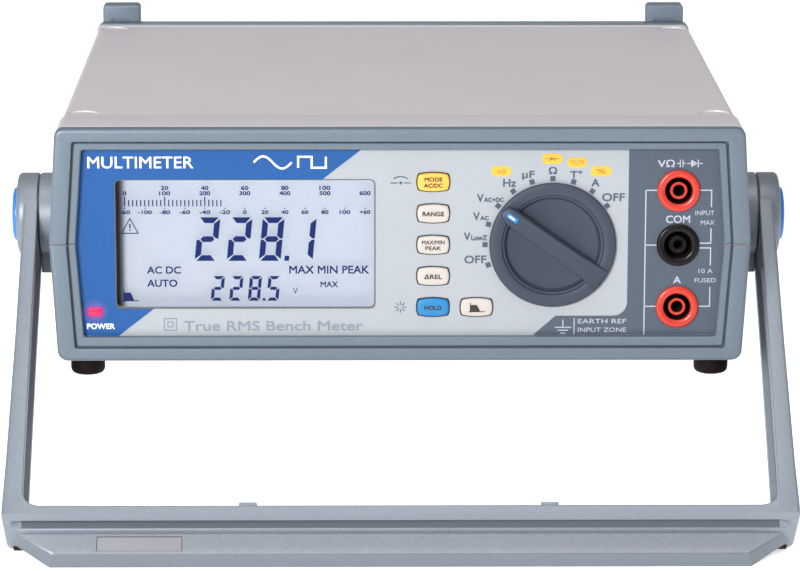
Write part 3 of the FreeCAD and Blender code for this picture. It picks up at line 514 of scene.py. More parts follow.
M = {
    "shell": moulded("shell_plastic", (0.131, 0.169, 0.208), 0.42, 0.55, 0.10, 0.45, 0.30),
    "cover": moulded("cover_plastic", (0.628, 0.588, 0.625), 0.5, 0.55, 0.05, 0.3, 0.15),
    "handle": moulded("handle_plastic", (0.203, 0.234, 0.272), 0.42, 0.6, 0.12, 0.5, 0.30),
    # painted shade and light on the handle: a dark copy for the finger groove, a darker copy for the lip's
    # bevel, a lighter copy for the lip's top
    "handle_groove_painted_shade": moulded("handle_groove_painted_shade", (0.075, 0.09, 0.11), 0.6, 0.6, 0.12, 0.5, 0.30),
    "handle_bevel_painted_shade": moulded("handle_bevel_painted_shade", (0.157, 0.183, 0.216), 0.42, 0.6, 0.12, 0.5, 0.30),
    "handle_lip_painted_light": moulded("handle_lip_painted_light", (0.31, 0.335, 0.375), 0.42, 0.6, 0.12, 0.5, 0.30),
    "bumper": moulded("bumper_plastic", (0.138, 0.178, 0.224), 0.5, 0.55, 0.10, 0.4, 0.2),
    "panel": moulded("panel_plastic", (0.35, 0.375, 0.41), 0.42, 0.8, 0.025, 0.12),
    "panel_blue": blue_film(),
    "panel_slate": moulded("panel_slate", (0.0591, 0.0803, 0.112), 0.42, 0.8, 0.06, 0.12),
    "rear": moulded("rear_panel_plastic", (0.10, 0.125, 0.15), 0.5, 0.6, 0.08, 0.3),
    "black": moulded("black_plastic", (0.018, 0.018, 0.02), 0.4, 0.6, 0.1, 0.25),
    "pane": clear_pane(),
    "lcd": lit_display(),
    "lcd_ink": moulded("lcd_ink", (0.0072, 0.018, 0.109), 0.35, 0.5, 0.05, 0.05),
    "light": glowing("light_guide", (0.8, 0.88, 1.0), 0.4),
    "led": glowing("led_lens", (0.80, 0.006, 0.09), 0.42),
    "board": moulded("circuit_board", (0.02, 0.13, 0.06), 0.4, 0.5, 0.1, 0.1),
    "red": moulded("red_socket", (0.538, 0.0288, 0.0153), 0.32, 0.7, 0.04, 0.08, 0.0, 0.15),
    "jack_black": moulded("black_socket", (0.006, 0.004, 0.004), 0.35, 0.7, 0.1, 0.08, 0.0, 0.15),
    # painted shade: near-black copy of the socket plastic for the deep walls and floor inside each socket
    "socket_recess_shade": moulded("socket_recess_painted_shade", (0.012, 0.008, 0.008), 0.5, 0.7, 0.1, 0.08),
    "brass": metal("contact_brass", (0.75, 0.55, 0.25), 0.3),
    "steel": metal("nut_steel", (0.62, 0.62, 0.63), 0.32),
    "spring": metal("spring_steel", (0.5, 0.5, 0.52), 0.35),
    "knob": moulded("knob_plastic", (0.0362, 0.0469, 0.0704), 0.45, 0.45, 0.06, 0.25),
    # painted glow: the knob's pointer insert is no lamp; its light stands in for light falling on it
    "pointer": glowing("pointer_blue", (0.02, 0.18, 0.5), 0.12),
    "pointer_core": glowing("pointer_core", (0.6, 0.82, 0.95), 0.25),
    "switch": moulded("switch_plastic", (0.03, 0.03, 0.032), 0.45, 0.5, 0.1, 0.2),
    "key_white": moulded("key_white", (0.503, 0.46, 0.426), 0.4, 0.6, 0.025, 0.12),
    "key_yellow": moulded("key_yellow", (0.874, 0.453, 0.0655), 0.4, 0.6, 0.04, 0.12),
    "key_blue": moulded("key_blue", (0.00738, 0.187, 0.436), 0.4, 0.6, 0.04, 0.12),
    "core": metal("transformer_iron", (0.3, 0.29, 0.28), 0.5),
    "tape": moulded("winding_tape", (0.7, 0.45, 0.05), 0.4, 0.6, 0.08, 0.2),
    "sleeve": moulded("capacitor_sleeve", (0.02, 0.03, 0.08), 0.3, 0.5, 0.1, 0.1),
    "shunt": metal("shunt_metal", (0.6, 0.5, 0.42), 0.35),
    "ribbon": moulded("ribbon_grey", (0.4, 0.4, 0.42), 0.5, 0.5, 0.05, 0.2),
    "fuse": moulded("fuse_body", (0.75, 0.73, 0.68), 0.35, 0.5, 0.04, 0.1),
    "rubber": moulded("foot_rubber", (0.008, 0.0036, 0.0032), 0.65, 0.5, 0.15, 0.4),
    "plate": moulded("label_plate", (0.317, 0.31, 0.342), 0.4, 0.7, 0.03, 0.1),
    "release": moulded("release_blue", (0.028, 0.187, 0.594), 0.4, 0.7, 0.05, 0.08, 0.0, 0.1),
    "ink_white": ink("ink_white", (0.86, 0.88, 0.92), 0.02),
    "ink_pale": ink("ink_pale", (0.43, 0.465, 0.52), 0.02),
    "ink_dark": ink("ink_dark", (0.051, 0.0735, 0.112)),
    "ink_grey": ink("ink_grey", (0.196, 0.23, 0.281), 0.04),
    "ink_key": ink("ink_key", (0.025, 0.014, 0.015)),
    "ink_tag": ink("ink_tag", (0.42, 0.22, 0.05)),
    # painted shade: dark rings round the keys stand in for the shadow in the gap round each key
    "key_shade_ring": moulded("key_painted_shade_ring", (0.02, 0.013, 0.013), 0.6, 0.4, 0.1, 0.1),
    # painted shade: a dark rim round the display window stands in for the shadow along its edges
    "window_shade_rim": moulded("window_shade_rim", (0.09, 0.084, 0.075), 0.4, 0.4, 0.05, 0.05),
    # nickel contact metal, its colour darkened as painted shade deep inside the sockets
    "contact_shade_metal": metal("contact_metal_painted_shade", (0.16, 0.15, 0.15), 0.35),
    "tag": moulded("tag_yellow", (0.796, 0.425, 0.0338), 0.45, 0.5, 0.03, 0.05),
}

SHINE = {"rubber": 0.12, "jack_black": 0.15, "lcd_ink": 0.1, "panel_blue": 0.3, "socket_recess_shade": 0.2,
         "knob": 0.35, "key_shade_ring": 0.2}
for name, level in SHINE.items():
    M[name].node_tree.nodes["Principled BSDF"].inputs["Specular IOR Level"].default_value = level

CAD_FINISH = {
    "pane": ("display_window",),
    "lcd": ("lcd_glass",),
    "light": ("lcd_backlight",),
    "black": ("lcd_frame", "mains_inlet", "fuse_drawer", "amp_fuse_holder", "amp_fuse_cap"),
    "board": ("front_board", "main_board"),
    "switch": ("key_switches", "switch_stator", "relays", "converter_chips"),
    "steel": ("knob_shaft", "socket_nuts", "case_screws", "pivot_shafts", "inlet_pins",
              "board_standoffs", "board_screws"),
    "brass": ("switch_rotor",),
    "rear": ("rear_panel",),
    "fuse": ("mains_fuse", "amp_fuse"),
    "core": ("transformer_core",),
    "tape": ("transformer_windings",),
    "sleeve": ("capacitors",),
    "shunt": ("current_shunt",),
    "ribbon": ("ribbon_cable",),
    "rubber": ("end_pads",),
}


def finish_cad_nodes():
    for material, names in CAD_FINISH.items():
        for name in names:
            for slot in frame["nodes"][name].material_slots:
                slot.link = "OBJECT"
                slot.material = M[material]


# ---- case shells

HALF, TOP_HALF, TOP, BOTTOM, DEPTH = 129.5, 126.9, 43.5, 44.2, 256.0
COLLAR_END, COVER_IN = 28.7, 0.7
GAP = 0.26                                  # half the joint between the two shells
FRONT_JOINT, REAR_JOINT = 5.5, 247.1        # where the cover meets the front and rear rims


def arch(y, side_in, top_in, radius, seam, side):
    """Half a case section at y, from the parting line over the top (or floor) and back."""
    height = (TOP if side > 0 else BOTTOM) - top_in
    low, high = HALF - side_in, TOP_HALF - side_in
    points = [(-low + seam, GAP), (-low, GAP + seam), (-high, height, radius), (high, height, radius),
              (low, GAP + seam), (low - seam, GAP)]
    return [Vector((p.x, y, side * p.y)) for p in soft(points, 6, closed=False)]


def shell_profile(side):
    """(y, side inset, top inset, corner radius, seam bevel) round the wall's section."""
    sill = 0.7 if side < 0 else 0.0
    corner = 4.0 if side < 0 else 3.2
    outer = [(0.0, 1.5), (0.05, 0.95), (0.25, 0.5), (0.6, 0.18), (1.1, 0.03), (1.7, 0.0), (5.1, 0.0),
             (5.25, 0.35), (5.7, 0.35), (5.85, 0.0), (COLLAR_END - 0.6, 0.0), (COLLAR_END, 0.2),
             (COLLAR_END + 0.9, COVER_IN), (60.0, COVER_IN), (150.0, COVER_IN), (242.6, COVER_IN),
             (242.9, COVER_IN + 0.6), (243.7, COVER_IN + 0.6), (244.0, COVER_IN),
             (246.2, COVER_IN), (246.5, COVER_IN + 0.45), (247.0, COVER_IN + 0.45), (247.3, 0.3),
             (254.6, 0.3), (255.4, 0.6), (DEPTH, 1.4)]
    rim = [(PANEL_Y, 9.6, 8.1 + sill), (1.7, 9.6, 8.1 + sill), (1.3, 9.25, 7.75 + sill), (1.25, 7.25, 5.75),
           (1.45, 7.05, 5.55), (2.6, 6.95, 5.45), (2.6, 6.45, 4.95), (0.25, 6.3, 4.8), (0.05, 6.15, 4.65),
           (0.0, 5.9, 4.4)]
    rows = [(y, s, top, 1.0, 0.05) for y, s, top in rim]
    rows += [(y, inset, inset, max(1.0, corner - inset), 0.3) for y, inset in outer]
    rows += [(DEPTH, 6.0, 4.5, 1.0, 0.05), (254.8, 6.2, 4.7, 1.0, 0.05), (254.8, 9.6, 8.1, 1.0, 0.05),
             (REAR_Y, 9.6, 8.1, 1.0, 0.05), (REAR_Y, 2.6, 2.6, 1.0, 0.05), (4.6, 2.6, 2.6, 1.0, 0.05)]
    return rows


def case_shell(side):
    loops = [arch(y, s, t, r, seam, side) for y, s, t, r, seam in shell_profile(side)]
    return skin(loops, ring=True, closed=False)


def pocket_disc(x, y, z, radius, depth):
    """Cutter for a shallow round recess in a horizontal face."""
    disc = turned([(0, -depth), (radius, -depth), (radius + 0.3, depth), (0, depth)], 64)
    return shifted(disc, moved(x, y, z))


def case_cover():
    shell = case_shell(1)
    surface = TOP - COVER_IN
    recesses = [pocket_disc(sign * 118.6, y, surface, 5.6, 0.45) for sign in (-1, 1) for y in (36.0, 235.5)]
    return combined(shell, recesses, "DIFFERENCE")


def case_base():
    slots = [plate([box_outline(left, y, left + 36, y + 2.5, 1.2)], -BOTTOM - 2, -BOTTOM + 5)
             for left in (-46, 10) for y in range(140, 196, 7)]
    return combined(case_shell(-1), [joined(slots)], "DIFFERENCE")


def build_case():
    for name, mesh, node in (("case_cover", case_cover(), "upper_shell"),
                             ("case_base", case_base(), "lower_shell")):
        cover_faces(mesh)
        piece(name, mesh, CASE, "case", [M["shell"], M["cover"]], [node])


def cover_faces(mesh):
    """The pale grey finish starts at the joint behind the front bezel."""
    for face in mesh.polygons:
        face.material_index = 0 if face.center.y < FRONT_JOINT or face.center.y > REAR_JOINT else 1


# ---- front panel

SLATE_X = 84.4
KEY_PLACES = {"mode": (12.25, 22.8), "range": (12.25, 10.95), "max_min": (12.25, -0.9),
              "relative": (12.25, -12.75), "hold": (12.25, -24.6), "filter": (28.4, -24.6)}
SOCKETS = {"volt": 19.5, "common": -1.0, "amp": -24.5}
SOCKET_X = 102.9
KNOB_X, KNOB_Z = 56.5, -0.9


def panel_edge(inset):
    """Six-sided edge of the panel, widest half way up."""
    middle, end, high = 119.9 - inset, 118.1 - inset, 35.4 - inset
    return soft([(-middle, 0), (-end, high, 0.8), (end, high, 0.8), (middle, 0), (end, -high, 0.8),
                 (-end, -high, 0.8)])


def key_outline(grow=0.0):
    """Barrel: all four sides bow outwards between rounded corners."""
    half_x, half_y, bow = 5.3 + grow, 2.8 + grow, 0.62
    bottom = [(s * half_x, -half_y - bow * (1 - s * s)) for s in (-1 + k / 4 for k in range(8))]
    right = [(half_x + bow * (1 - s * s), s * half_y) for s in (-1 + k / 3 for k in range(6))]
    ring = bottom + right + [(-x, -y) for x, y in bottom + right]
    corners = (0, 8, 14, 22)
    return soft([(x, y, 1.1) if i in corners else (x, y) for i, (x, y) in enumerate(ring)], 4)


def moved_outline(outline, x, y):
    return [Vector((p[0] + x, p[1] + y)) for p in outline]


def panel_openings():
    openings = {"window": box_outline(*WINDOW, 1.7),
                "led": box_outline(LED[0] - 2.8, LED[1] - 1.7, LED[0] + 2.8, LED[1] + 1.7, 0.7),
                "knob": ring_outline(20.1, 96, KNOB_X, KNOB_Z)}
    for name, (x, y) in KEY_PLACES.items():
        openings[name] = moved_outline(key_outline(0.3), x, y)
    for name, y in SOCKETS.items():
        openings[name + "_socket"] = ring_outline(6.6, 48, SOCKET_X, y)
    return openings


def build_panel():
    openings = panel_openings()
    base = plate([panel_edge(-1.3), *openings.values()], -2.5, 0)
    panel_piece("front_plate", base, "panel", stands_for=["front_panel"])
    # painted shade: flat dark rings round the keys stand in for the shadow in the gap round each key
    rings = [plate([moved_outline(key_outline(grow), x, y) for grow in (0.42, 0.15)], -1.2, 0.06)
             for x, y in KEY_PLACES.values()]
    piece("key_painted_shade_rings", joined(rings), facing_front(), "case", M["key_shade_ring"])
    left, low, right, top = WINDOW
    # painted shade: the dark rim stands in for the shadow along the window's edges
    rim = plate([box_outline(left - 0.3, low - 0.35, right + 0.35, top + 0.25, 1.9),
                 box_outline(left + 0.05, low + 0.05, right - 0.05, top - 0.05, 1.65)], -0.6, 0.22, 0.08)
    panel_piece("window_shade_rim", rim, "window_shade_rim")
    blue = [(-119.8, 0), (-118.0, 35.3), (-13.8, 35.39), (-104.5, -35.4), (-118.0, -35.3)]
    film = combined(plate([blue, openings["led"]], 0, FILM), [plate([openings["window"]], -1, 1)],
                    "DIFFERENCE")
    panel_piece("blue_field", film, "panel_blue")
    corner = soft([(72.0, -28.0), (SLATE_X, -28.0, 5.2), (SLATE_X, -15.0)], 8, closed=False)
    slate = [(SLATE_X, 35.3), (118.0, 35.3), (119.8, 0), (118.0, -35.3), (49.5, -35.3), (57.8, -28.0),
             *corner]
    holes = [openings[name + "_socket"] for name in SOCKETS]
    panel_piece("slate_field", plate([slate, *holes], 0, FILM), "panel_slate")


def low_pass_sign(x, y, width, height, pen):
    """Low-pass filter: filled response curve over two axes."""
    axis = x + 0.1 * width
    curve = [(0, 0), (0.62, 0), (0.50, 0.45), (0.40, 0.75), (0, 0.75)]
    return [blot([(axis + u * width, y + v * height) for u, v in curve]),
            *lines(pen, [(x, y), (x + width, y)], [(axis, y - 0.1 * height), (axis, y + height)])]


def white_prints():
    """Words and wave signs printed in white on the blue field."""
    wave = [(-54.0 + 14.0 * k / 24, 30.2 + 2.3 * math.sin(2 * math.pi * k / 24)) for k in range(25)]
    square = [(-37.6, 28.2), (-37.6, 32.3), (-32.6, 32.3), (-32.6, 28.2), (-27.4, 28.2), (-27.4, 32.3)]
    return [lettering("MULTIMETER", -115.2, 28.0, -76.2, 32.4, 0.04),
            lettering("POWER", -116.3, -32.85, -106.0, -30.7, 0.07), *lines(0.75, wave, square)]


SLATE_WORDS = [("COM", 98.35, 7.2, 107.3, 10.1, 0.05), ("A", 101.4, -15.65, 104.3, -13.0, 0.05),
               ("VΩ", 95.0, 28.3, 101.3, 31.1, 0.05), ("INPUT", 109.2, 10.2, 116.2, 11.9),
               ("MAX", 111.3, 6.6, 116.4, 8.2), ("10 A", 110.8, -11.8, 116.0, -10.1),
               ("FUSED", 109.4, -15.3, 117.3, -13.7), ("EARTH REF", 66.2, -30.9, 84.2, -29.2),
               ("INPUT ZONE", 66.2, -34.2, 84.2, -32.5)]


def component_signs():
    """Capacitor and diode signs over the upper socket."""
    low, mid, high = 28.3, 29.7, 31.1
    return [*lines(0.35, [(102.1, mid), (103.3, mid)], [(103.3, low), (103.3, high)],
                   [(104.3, low), (104.3, high)], [(104.3, mid), (105.3, mid)], [(105.9, mid), (111.6, mid)]),
            stroke([(109.9, low), (109.9, high)], 0.4), blot([(107.3, low), (109.8, mid), (107.3, high)])]


def connection_lines():
    """A rail left of the sockets, a stub to each, and hooks to the words on their right."""
    rail, end = 90.8, 115.1
    stubs = [[(rail, y), (SOCKET_X - 7.4, y)] for y in (19.6, -1.1, -24.4)]
    hooks = [[(SOCKET_X + 7.2, y), (end, y), (end, stop)]
             for y, stop in ((19.6, 13.2), (-0.4, 5.2), (-2.2, -8.8), (-24.4, -17.0))]
    return lines(0.42, [(rail, 19.6), (rail, -35.2)], *stubs, *hooks)


def earth_sign():
    """Earth sign and the line between it and its words."""
    return [*lines(0.36, [(60.6, -29.4), (60.6, -32.4)], [(57.6, -32.4), (63.8, -32.4)],
                   [(58.7, -33.5), (62.6, -33.5)], [(59.7, -34.6), (61.5, -34.6)]),
            stroke([(64.8, -35.0), (64.8, -28.9)], 0.35)]


def pale_prints():
    """Everything printed in pale grey on the slate field."""
    return [*(lettering(*entry) for entry in SLATE_WORDS), *component_signs(), *connection_lines(),
            *earth_sign()]


DIAL = [("OFF", 23.8, -8.04, 31.97, -5.0), ("V", 23.6, 0.7, 26.0, 3.7), ("LowZ", 26.3, 0.7, 32.2, 2.7),
        ("V", 27.0, 8.3, 29.4, 11.3), ("AC", 29.6, 8.3, 32.8, 10.0), ("V", 28.4, 15.2, 30.8, 18.2),
        ("AC+DC", 31.0, 15.2, 38.3, 16.9), ("Hz", 38.0, 20.9, 42.8, 23.9), ("µF", 45.0, 23.5, 49.6, 27.0),
        ("Ω", 54.8, 25.7, 57.9, 28.4), ("T°", 62.7, 24.1, 67.1, 27.0), ("A", 70.6, 21.0, 73.6, 23.9),
        ("OFF", 74.6, 15.4, 83.0, 18.5)]
TICK_RING = 24.9


def dial_marks():
    """Square marks round the knob, one for each of its ten positions."""
    mark = box_outline(-0.95, -0.95, 0.95, 0.95)
    out = []
    for step in range(10):
        angle = math.radians(198 - 18 * step)
        centre = Vector((KNOB_X - 0.15 + TICK_RING * math.cos(angle), KNOB_Z + TICK_RING * math.sin(angle)))
        out.append(blot([Matrix.Rotation(angle, 2) @ p + centre for p in mark]))
    return out


def beeper_sign():
    arc = [(0.2 + 3.4 * math.cos(a), 22.2 + 2.6 * math.sin(a)) for a in map(math.radians, range(40, 141, 10))]
    return [stroke(arc, 0.4), blot(ring_outline(0.55, 20, 0.2, 22.4)),
            *lines(0.35, [(-3.6, 22.4), (-0.9, 22.4)], [(1.3, 22.4), (4.0, 22.4)])]


def backlight_sign():
    rays = [(math.cos(a), math.sin(a)) for a in map(math.radians, range(0, 360, 45))]
    return lines(0.32, *([(0.14 + r * c, -24.6 + r * s) for r in (0.8, 2.2)] for c, s in rays))


def dark_prints():
    return [*(lettering(*entry, 0.08) for entry in DIAL), *dial_marks(), *beeper_sign(), *backlight_sign()]


def grey_prints():
    """Title under the display, after its double square sign."""
    squares = [box_outline(-87.6, -33.4, -83.1, -28.9), box_outline(-86.3, -32.1, -84.4, -30.2)]
    return [lettering("True RMS Bench Meter", -80.4, -33.6, -13.8, -29.8, 0.08),
            *(stroke(square, 0.4, True) for square in squares)]


TAGS = [(33.8, 24.9, 40.9, 28.7, "mS"), (52.4, 29.5, 59.8, 33.4, "diode"), (61.6, 28.2, 69.0, 31.9, "°C/°F"),
        (70.3, 24.9, 78.0, 28.7, "%")]


def tag_sign(x0, y0, x1, y1, word):
    """Meshes of the word on a yellow tag, or of the diode sign."""
    if word == "diode":
        x, y = (x0 + x1) / 2, (y0 + y1) / 2
        return [stroke([(x - 2.6, y), (x + 2.6, y)], 0.3),
                blot([(x - 0.9, y - 0.9), (x + 0.7, y), (x - 0.9, y + 0.9)]),
                stroke([(x + 0.8, y - 0.95), (x + 0.8, y + 0.95)], 0.3)]
    inset = 1.0 if len(word) > 3 else 2.0
    return [lettering(word, x0 + inset, y0 + 1.0, x1 - inset, y1 - 1.0, 0.05)]


def build_prints():
    """Thin printed films and lettering on the front panel."""
    tags = [blot(box_outline(*tag[:4], 1.6)) for tag in TAGS]
    panel_piece("tags", joined(tags), "tag")
    signs = [mesh for tag in TAGS for mesh in tag_sign(*tag)]
    panel_piece("tag_letters", joined(signs), "ink_tag", PANEL_Y - INK)
    panel_piece("white_letters", joined(white_prints()), "ink_white", PANEL_Y - FILM)
    panel_piece("pale_letters", joined(pale_prints()), "ink_pale", PANEL_Y - FILM)
    panel_piece("dial_letters", joined(dark_prints()), "ink_dark")
    panel_piece("title_letters", joined(grey_prints()), "ink_grey")


# ---- display

LCD_Y = 8.4
BAR_LEFT, BAR_PITCH = -101.66, 1.4825
NUMBER_PITCH = 14.82


def centred(word, x, low, high, half):
    """Small figures centred on x; half is half the width of one of them."""
    return lettering(word, x - half * len(word), low, x + half * len(word), high, 0.07)


def bar_graph():
    """Row of bars, every tenth taller, with two scales above it and one below."""
    out = []
    for k in range(25):
        x = BAR_LEFT + BAR_PITCH * k
        out.append(blot(box_outline(x - 0.22, 12.9, x + 0.22, 16.5 if k % 10 == 0 else 15.3)))
    out += [centred(str(100 * k), BAR_LEFT + NUMBER_PITCH * k, 17.0, 18.6, 0.68) for k in range(7)]
    out += [centred(str(20 * k), BAR_LEFT + NUMBER_PITCH * k, 19.0, 20.6, 0.68) for k in range(1, 6)]
    for k, word in enumerate("-60 -100 -80 -60 -40 -20 0 20 40 60 80 100 +60".split()):
        x = BAR_LEFT + NUMBER_PITCH / 2 * k
        out += [centred(word, x, 9.9, 11.4, 0.66), blot(ring_outline(0.24, 12, x, 12.1))]
    return out


def display_figures():
    """The large reading 228.1 over the small reading 228.5."""
    lean = math.tan(math.radians(5.6))
    out = []
    for digit, x in zip("228", (-76.0, -64.1, -52.2)):
        out += figure(digit, x, -7.8, 8.1, 16.5, 2.15, lean)
    out += figure("1", -39.6, -7.8, 7.4, 16.5, 2.1, lean)
    out.append(blot([(-42.7, -7.8), (-41.0, -7.8), (-40.8, -5.9), (-42.5, -5.9)]))
    for digit, x in zip("2285", (-70.2, -63.3, -56.4, -49.5)):
        out += figure(digit, x, -23.0, 4.5, 9.4, 1.2, lean)
    out.append(blot(box_outline(-50.8, -23.0, -49.8, -22.0)))
    return out


WORDS = [("AC DC", -93.7, -12.7, -81.1, -9.9, 0.07), ("AUTO", -93.7, -17.7, -82.5, -14.9, 0.07),
         ("MAX MIN PEAK", -40.9, -12.7, -11.2, -9.7, 0.07), ("MAX", -29.3, -17.9, -22.8, -15.7, 0.05),
         ("V", -39.6, -20.4, -37.7, -18.1)]


def display_words():
    """Words of the display, its warning triangle and its low-pass sign."""
    triangle = [(-102.9, 2.7), (-96.8, 2.7), (-99.85, 8.3)]
    return [*(lettering(*entry) for entry in WORDS), stroke(triangle, 0.35, True),
            stroke([(-99.85, 6.3), (-99.85, 4.6)], 0.5), blot(ring_outline(0.3, 12, -99.85, 3.8)),
            *low_pass_sign(-103.1, -23.0, 6.3, 4.2, 0.3)]


def build_display():
    content = joined(bar_graph() + display_figures() + display_words())
    piece("display_content", content, facing_front(x=-0.25, y=LCD_Y), "case", M["lcd_ink"])
    lens = skin([lifted(box_outline(-2.7 + d, -1.6 + d, 2.7 - d, 1.6 - d, 0.6), z)
                 for d, z in ((0, -3.0), (0, 0.1), (0.25, 0.45), (0.8, 0.6))])
    piece("power_lens", lens, facing_front(LED[0], LED[1]), "case", M["led"], ["power_led"])


# ---- keys

def key_cap(letters):
    """Domed cap over a flange that keeps it behind the panel, with its caption on top."""
    levels = [(0.0, -2.8), (0.0, 0.75), (0.12, 1.0), (0.35, 1.17), (0.75, 1.27), (1.6, 1.3), (2.6, 1.3)]
    cap = skin([lifted(key_outline(-inset), z) for inset, z in levels])
    flange = plate([key_outline(0.6)], -3.6, -2.7)
    prints = shifted(joined(letters), moved(z=1.3))
    return joined([cap, flange, prints], [0, 0, 1])


def build_keys():
    captions = {
        "mode": [lettering("MODE", -3.3, 0.35, 3.3, 1.95, 0.06),
                 lettering("AC/DC", -3.5, -1.95, 3.5, -0.35, 0.06)],
        "range": [lettering("RANGE", -4.0, -0.85, 4.0, 0.85, 0.06)],
        "max_min": [lettering("MAX/MIN", -4.2, 0.35, 4.2, 1.85, 0.03),
                    lettering("PEAK", -2.9, -1.85, 2.9, -0.35, 0.03)],
        "relative": [lettering("ΔREL", -3.3, -0.9, 3.3, 0.9, 0.06)],
        "hold": [lettering("HOLD", -3.2, -0.85, 3.2, 0.85, 0.06)],
        "filter": low_pass_sign(-2.9, -1.5, 6.0, 3.4, 0.28),
    }
    colours = {"mode": "key_yellow", "hold": "key_blue"}
    for name, (x, z) in KEY_PLACES.items():
        colour = colours.get(name, "key_white")
        piece(name + "_cap", key_cap(captions[name]), facing_front(x, z), name + "_button",
              [M[colour], M["ink_key"]], [name + "_key"], 40)


# ---- function knob

def knob_disc():
    """Disc with a rounded rim round a sunk face."""
    profile = [(0, -3.2), (19.4, -3.2), (19.4, 0.2), (23.2, 0.25), (23.45, 0.45), (23.5, 0.8), (23.38, 1.35),
               (23.0, 1.72), (22.3, 1.88), (21.0, 1.92), (19.6, 1.86), (19.05, 1.7), (18.75, 1.35),
               (18.6, 0.95), (17.95, 0.85), (17.8, 0.45), (17.2, -0.9), (16.85, -1.2), (16.4, -1.3),
               (8.0, -1.3), (0, -1.3)]
    return turned(profile, 128)


def knob_grip():
    """Tapered bar across the knob; its high rounded nose carries the pointer."""
    loops = []
    stations = [(-22.7, 3.9, 1.9), (-22.4, 4.1, 2.5), (-21.6, 4.15, 2.9), (-18.0, 3.8, 3.35),
                (-10.0, 3.35, 4.2), (0.0, 3.15, 5.0), (10.0, 3.05, 5.55), (17.0, 3.0, 5.85),
                (19.6, 2.9, 5.9), (20.9, 2.65, 5.85), (21.9, 2.1, 5.7), (22.5, 1.35, 5.5),
                (22.75, 0.5, 5.3)]
    for along, half, top in stations:
        low = -2.0 if abs(along) < 16 else 0.6
        flat = half - 0.5 if half > 0.8 else half * 0.5
        ring = [(-half - 0.3, low), (half + 0.3, low), (half, top - 0.55), (half - 0.18, top - 0.2),
                (flat, top), (-flat, top), (-half + 0.18, top - 0.2), (-half, top - 0.55)]
        loops.append([Vector((x, along, z)) for x, z in ring])
    return skin(loops)


def build_knob():
    place = facing_front(KNOB_X, KNOB_Z) @ turned_by(54, "Z")
    slot = plate([box_outline(-1.15, 16.3, 1.15, 21.5, 0.3)], 5.2, 7.0)
    grip = combined(knob_grip(), [slot], "DIFFERENCE")
    body = combined(knob_disc(), [grip], "UNION")
    piece("knob_body", body, place, "knob", M["knob"], ["function_knob"], 28)
    surround = plate([box_outline(-1.05, 16.4, 1.05, 21.4, 0.25)], 5.2, 5.55)
    core = plate([box_outline(-0.38, 17.6, 0.38, 20.4, 0.3)], 5.5, 5.68)
    # the pointer's glow is painted light; the knob has no lamp
    piece("knob_pointer_painted_glow", joined([surround, core], [0, 1]), place, "knob", [M["pointer"], M["pointer_core"]],
          ["knob_pointer"])


# ---- sockets

def socket_mesh(hexagon):
    """Collar and inner sleeve of a shrouded socket; one socket has a six-sided insert."""
    collar = [(7.55, -0.02), (7.85, 0.1), (7.9, 0.4), (7.9, 0.85), (7.75, 1.2), (7.4, 1.5), (6.9, 1.6),
              (6.1, 1.58), (5.5, 1.45), (5.15, 1.15), (5.0, 0.7), (5.0, -11.5), (3.25, -11.5),
              (3.25, 0.0), (3.2, 0.3),
              (3.0, 0.45), (2.45, 0.45), (2.2, 0.25), (2.1, -0.3), (2.1, -4.6), (2.6, -4.9),
              (2.6, -13.0), (6.45, -13.0), (6.45, -0.02)]
    body = turned(collar, 96, ring=True)
    if not hexagon:
        return body
    insert = skin([lifted(ring_outline(r, 6, turn=math.pi / 6), z) for r, z in
                   ((2.3, -2.6), (2.3, 0.3), (2.0, 0.35), (1.85, -0.1), (1.85, -2.6))], ring=True)
    return joined([body, insert])


def build_sockets():
    for name, height in SOCKETS.items():
        dark = name == "common"
        mesh = socket_mesh(dark)
        # painted shade: faces deep inside the socket get the near-black copy
        for face in mesh.polygons:
            face.material_index = 1 if face.center.z < 0.2 and face.center.xy.length < 5.3 else 0
        piece(name + "_collar", mesh, facing_front(SOCKET_X, height), "case",
              [M["jack_black" if dark else "red"], M["socket_recess_shade"]],
              [name + "_socket"])
    tube = turned([(2.05, -24.0), (2.55, -24.0), (2.55, -5.2), (2.4, -5.0), (2.15, -5.0), (2.05, -5.2)],
                  48, ring=True)
    tubes = [shifted(tube, moved(SOCKET_X, height, 0)) for height in SOCKETS.values()]
    # contact tubes in the darkened metal: painted shade deep inside the sockets
    piece("contact_tubes", joined(tubes), facing_front(), "case", M["contact_shade_metal"],
          ["socket_contacts"])


# ---- handle

HUB_X = 137.0                               # inner faces of the hubs and arms
ARM_BACK, ARM_FRONT = -14.0, 15.5
BAR_IN, BAR_FACE, LIP_OUT = 129.7, 134.2, 144.3


def across(x, points):
    """Section of the handle at x, drawn in its own y and z."""
    return [Vector((x, p.x, p.y)) for p in soft(points, 4)]


def mirrored(section, stations):
    """Skin through sections from the left end to the right, the same on both sides."""
    return skin([section(-x, *sizes) for x, *sizes in stations]
                + [section(x, *sizes) for x, *sizes in reversed(stations)])


def arm_section(sign, reach, out, back_round, channel):
    """Section of an arm at a distance from the pivot: channelled inner face, rounded outer edges."""
    x_in = HUB_X + 0.9 * min(1.0, max(0.0, reach - 30) / 60)
    web = x_in + channel
    points = [(x_in, ARM_FRONT, 0.5), (x_in, 12.2, 0.2), (web, 11.6, 0.2), (web, -8.8, 0.2),
              (x_in, -9.4, 0.2), (x_in, ARM_BACK, 0.8), (out, ARM_BACK, back_round), (out, ARM_FRONT, 1.1)]
    return [Vector((sign * p.x, -reach, p.y)) for p in soft(points, 5)]


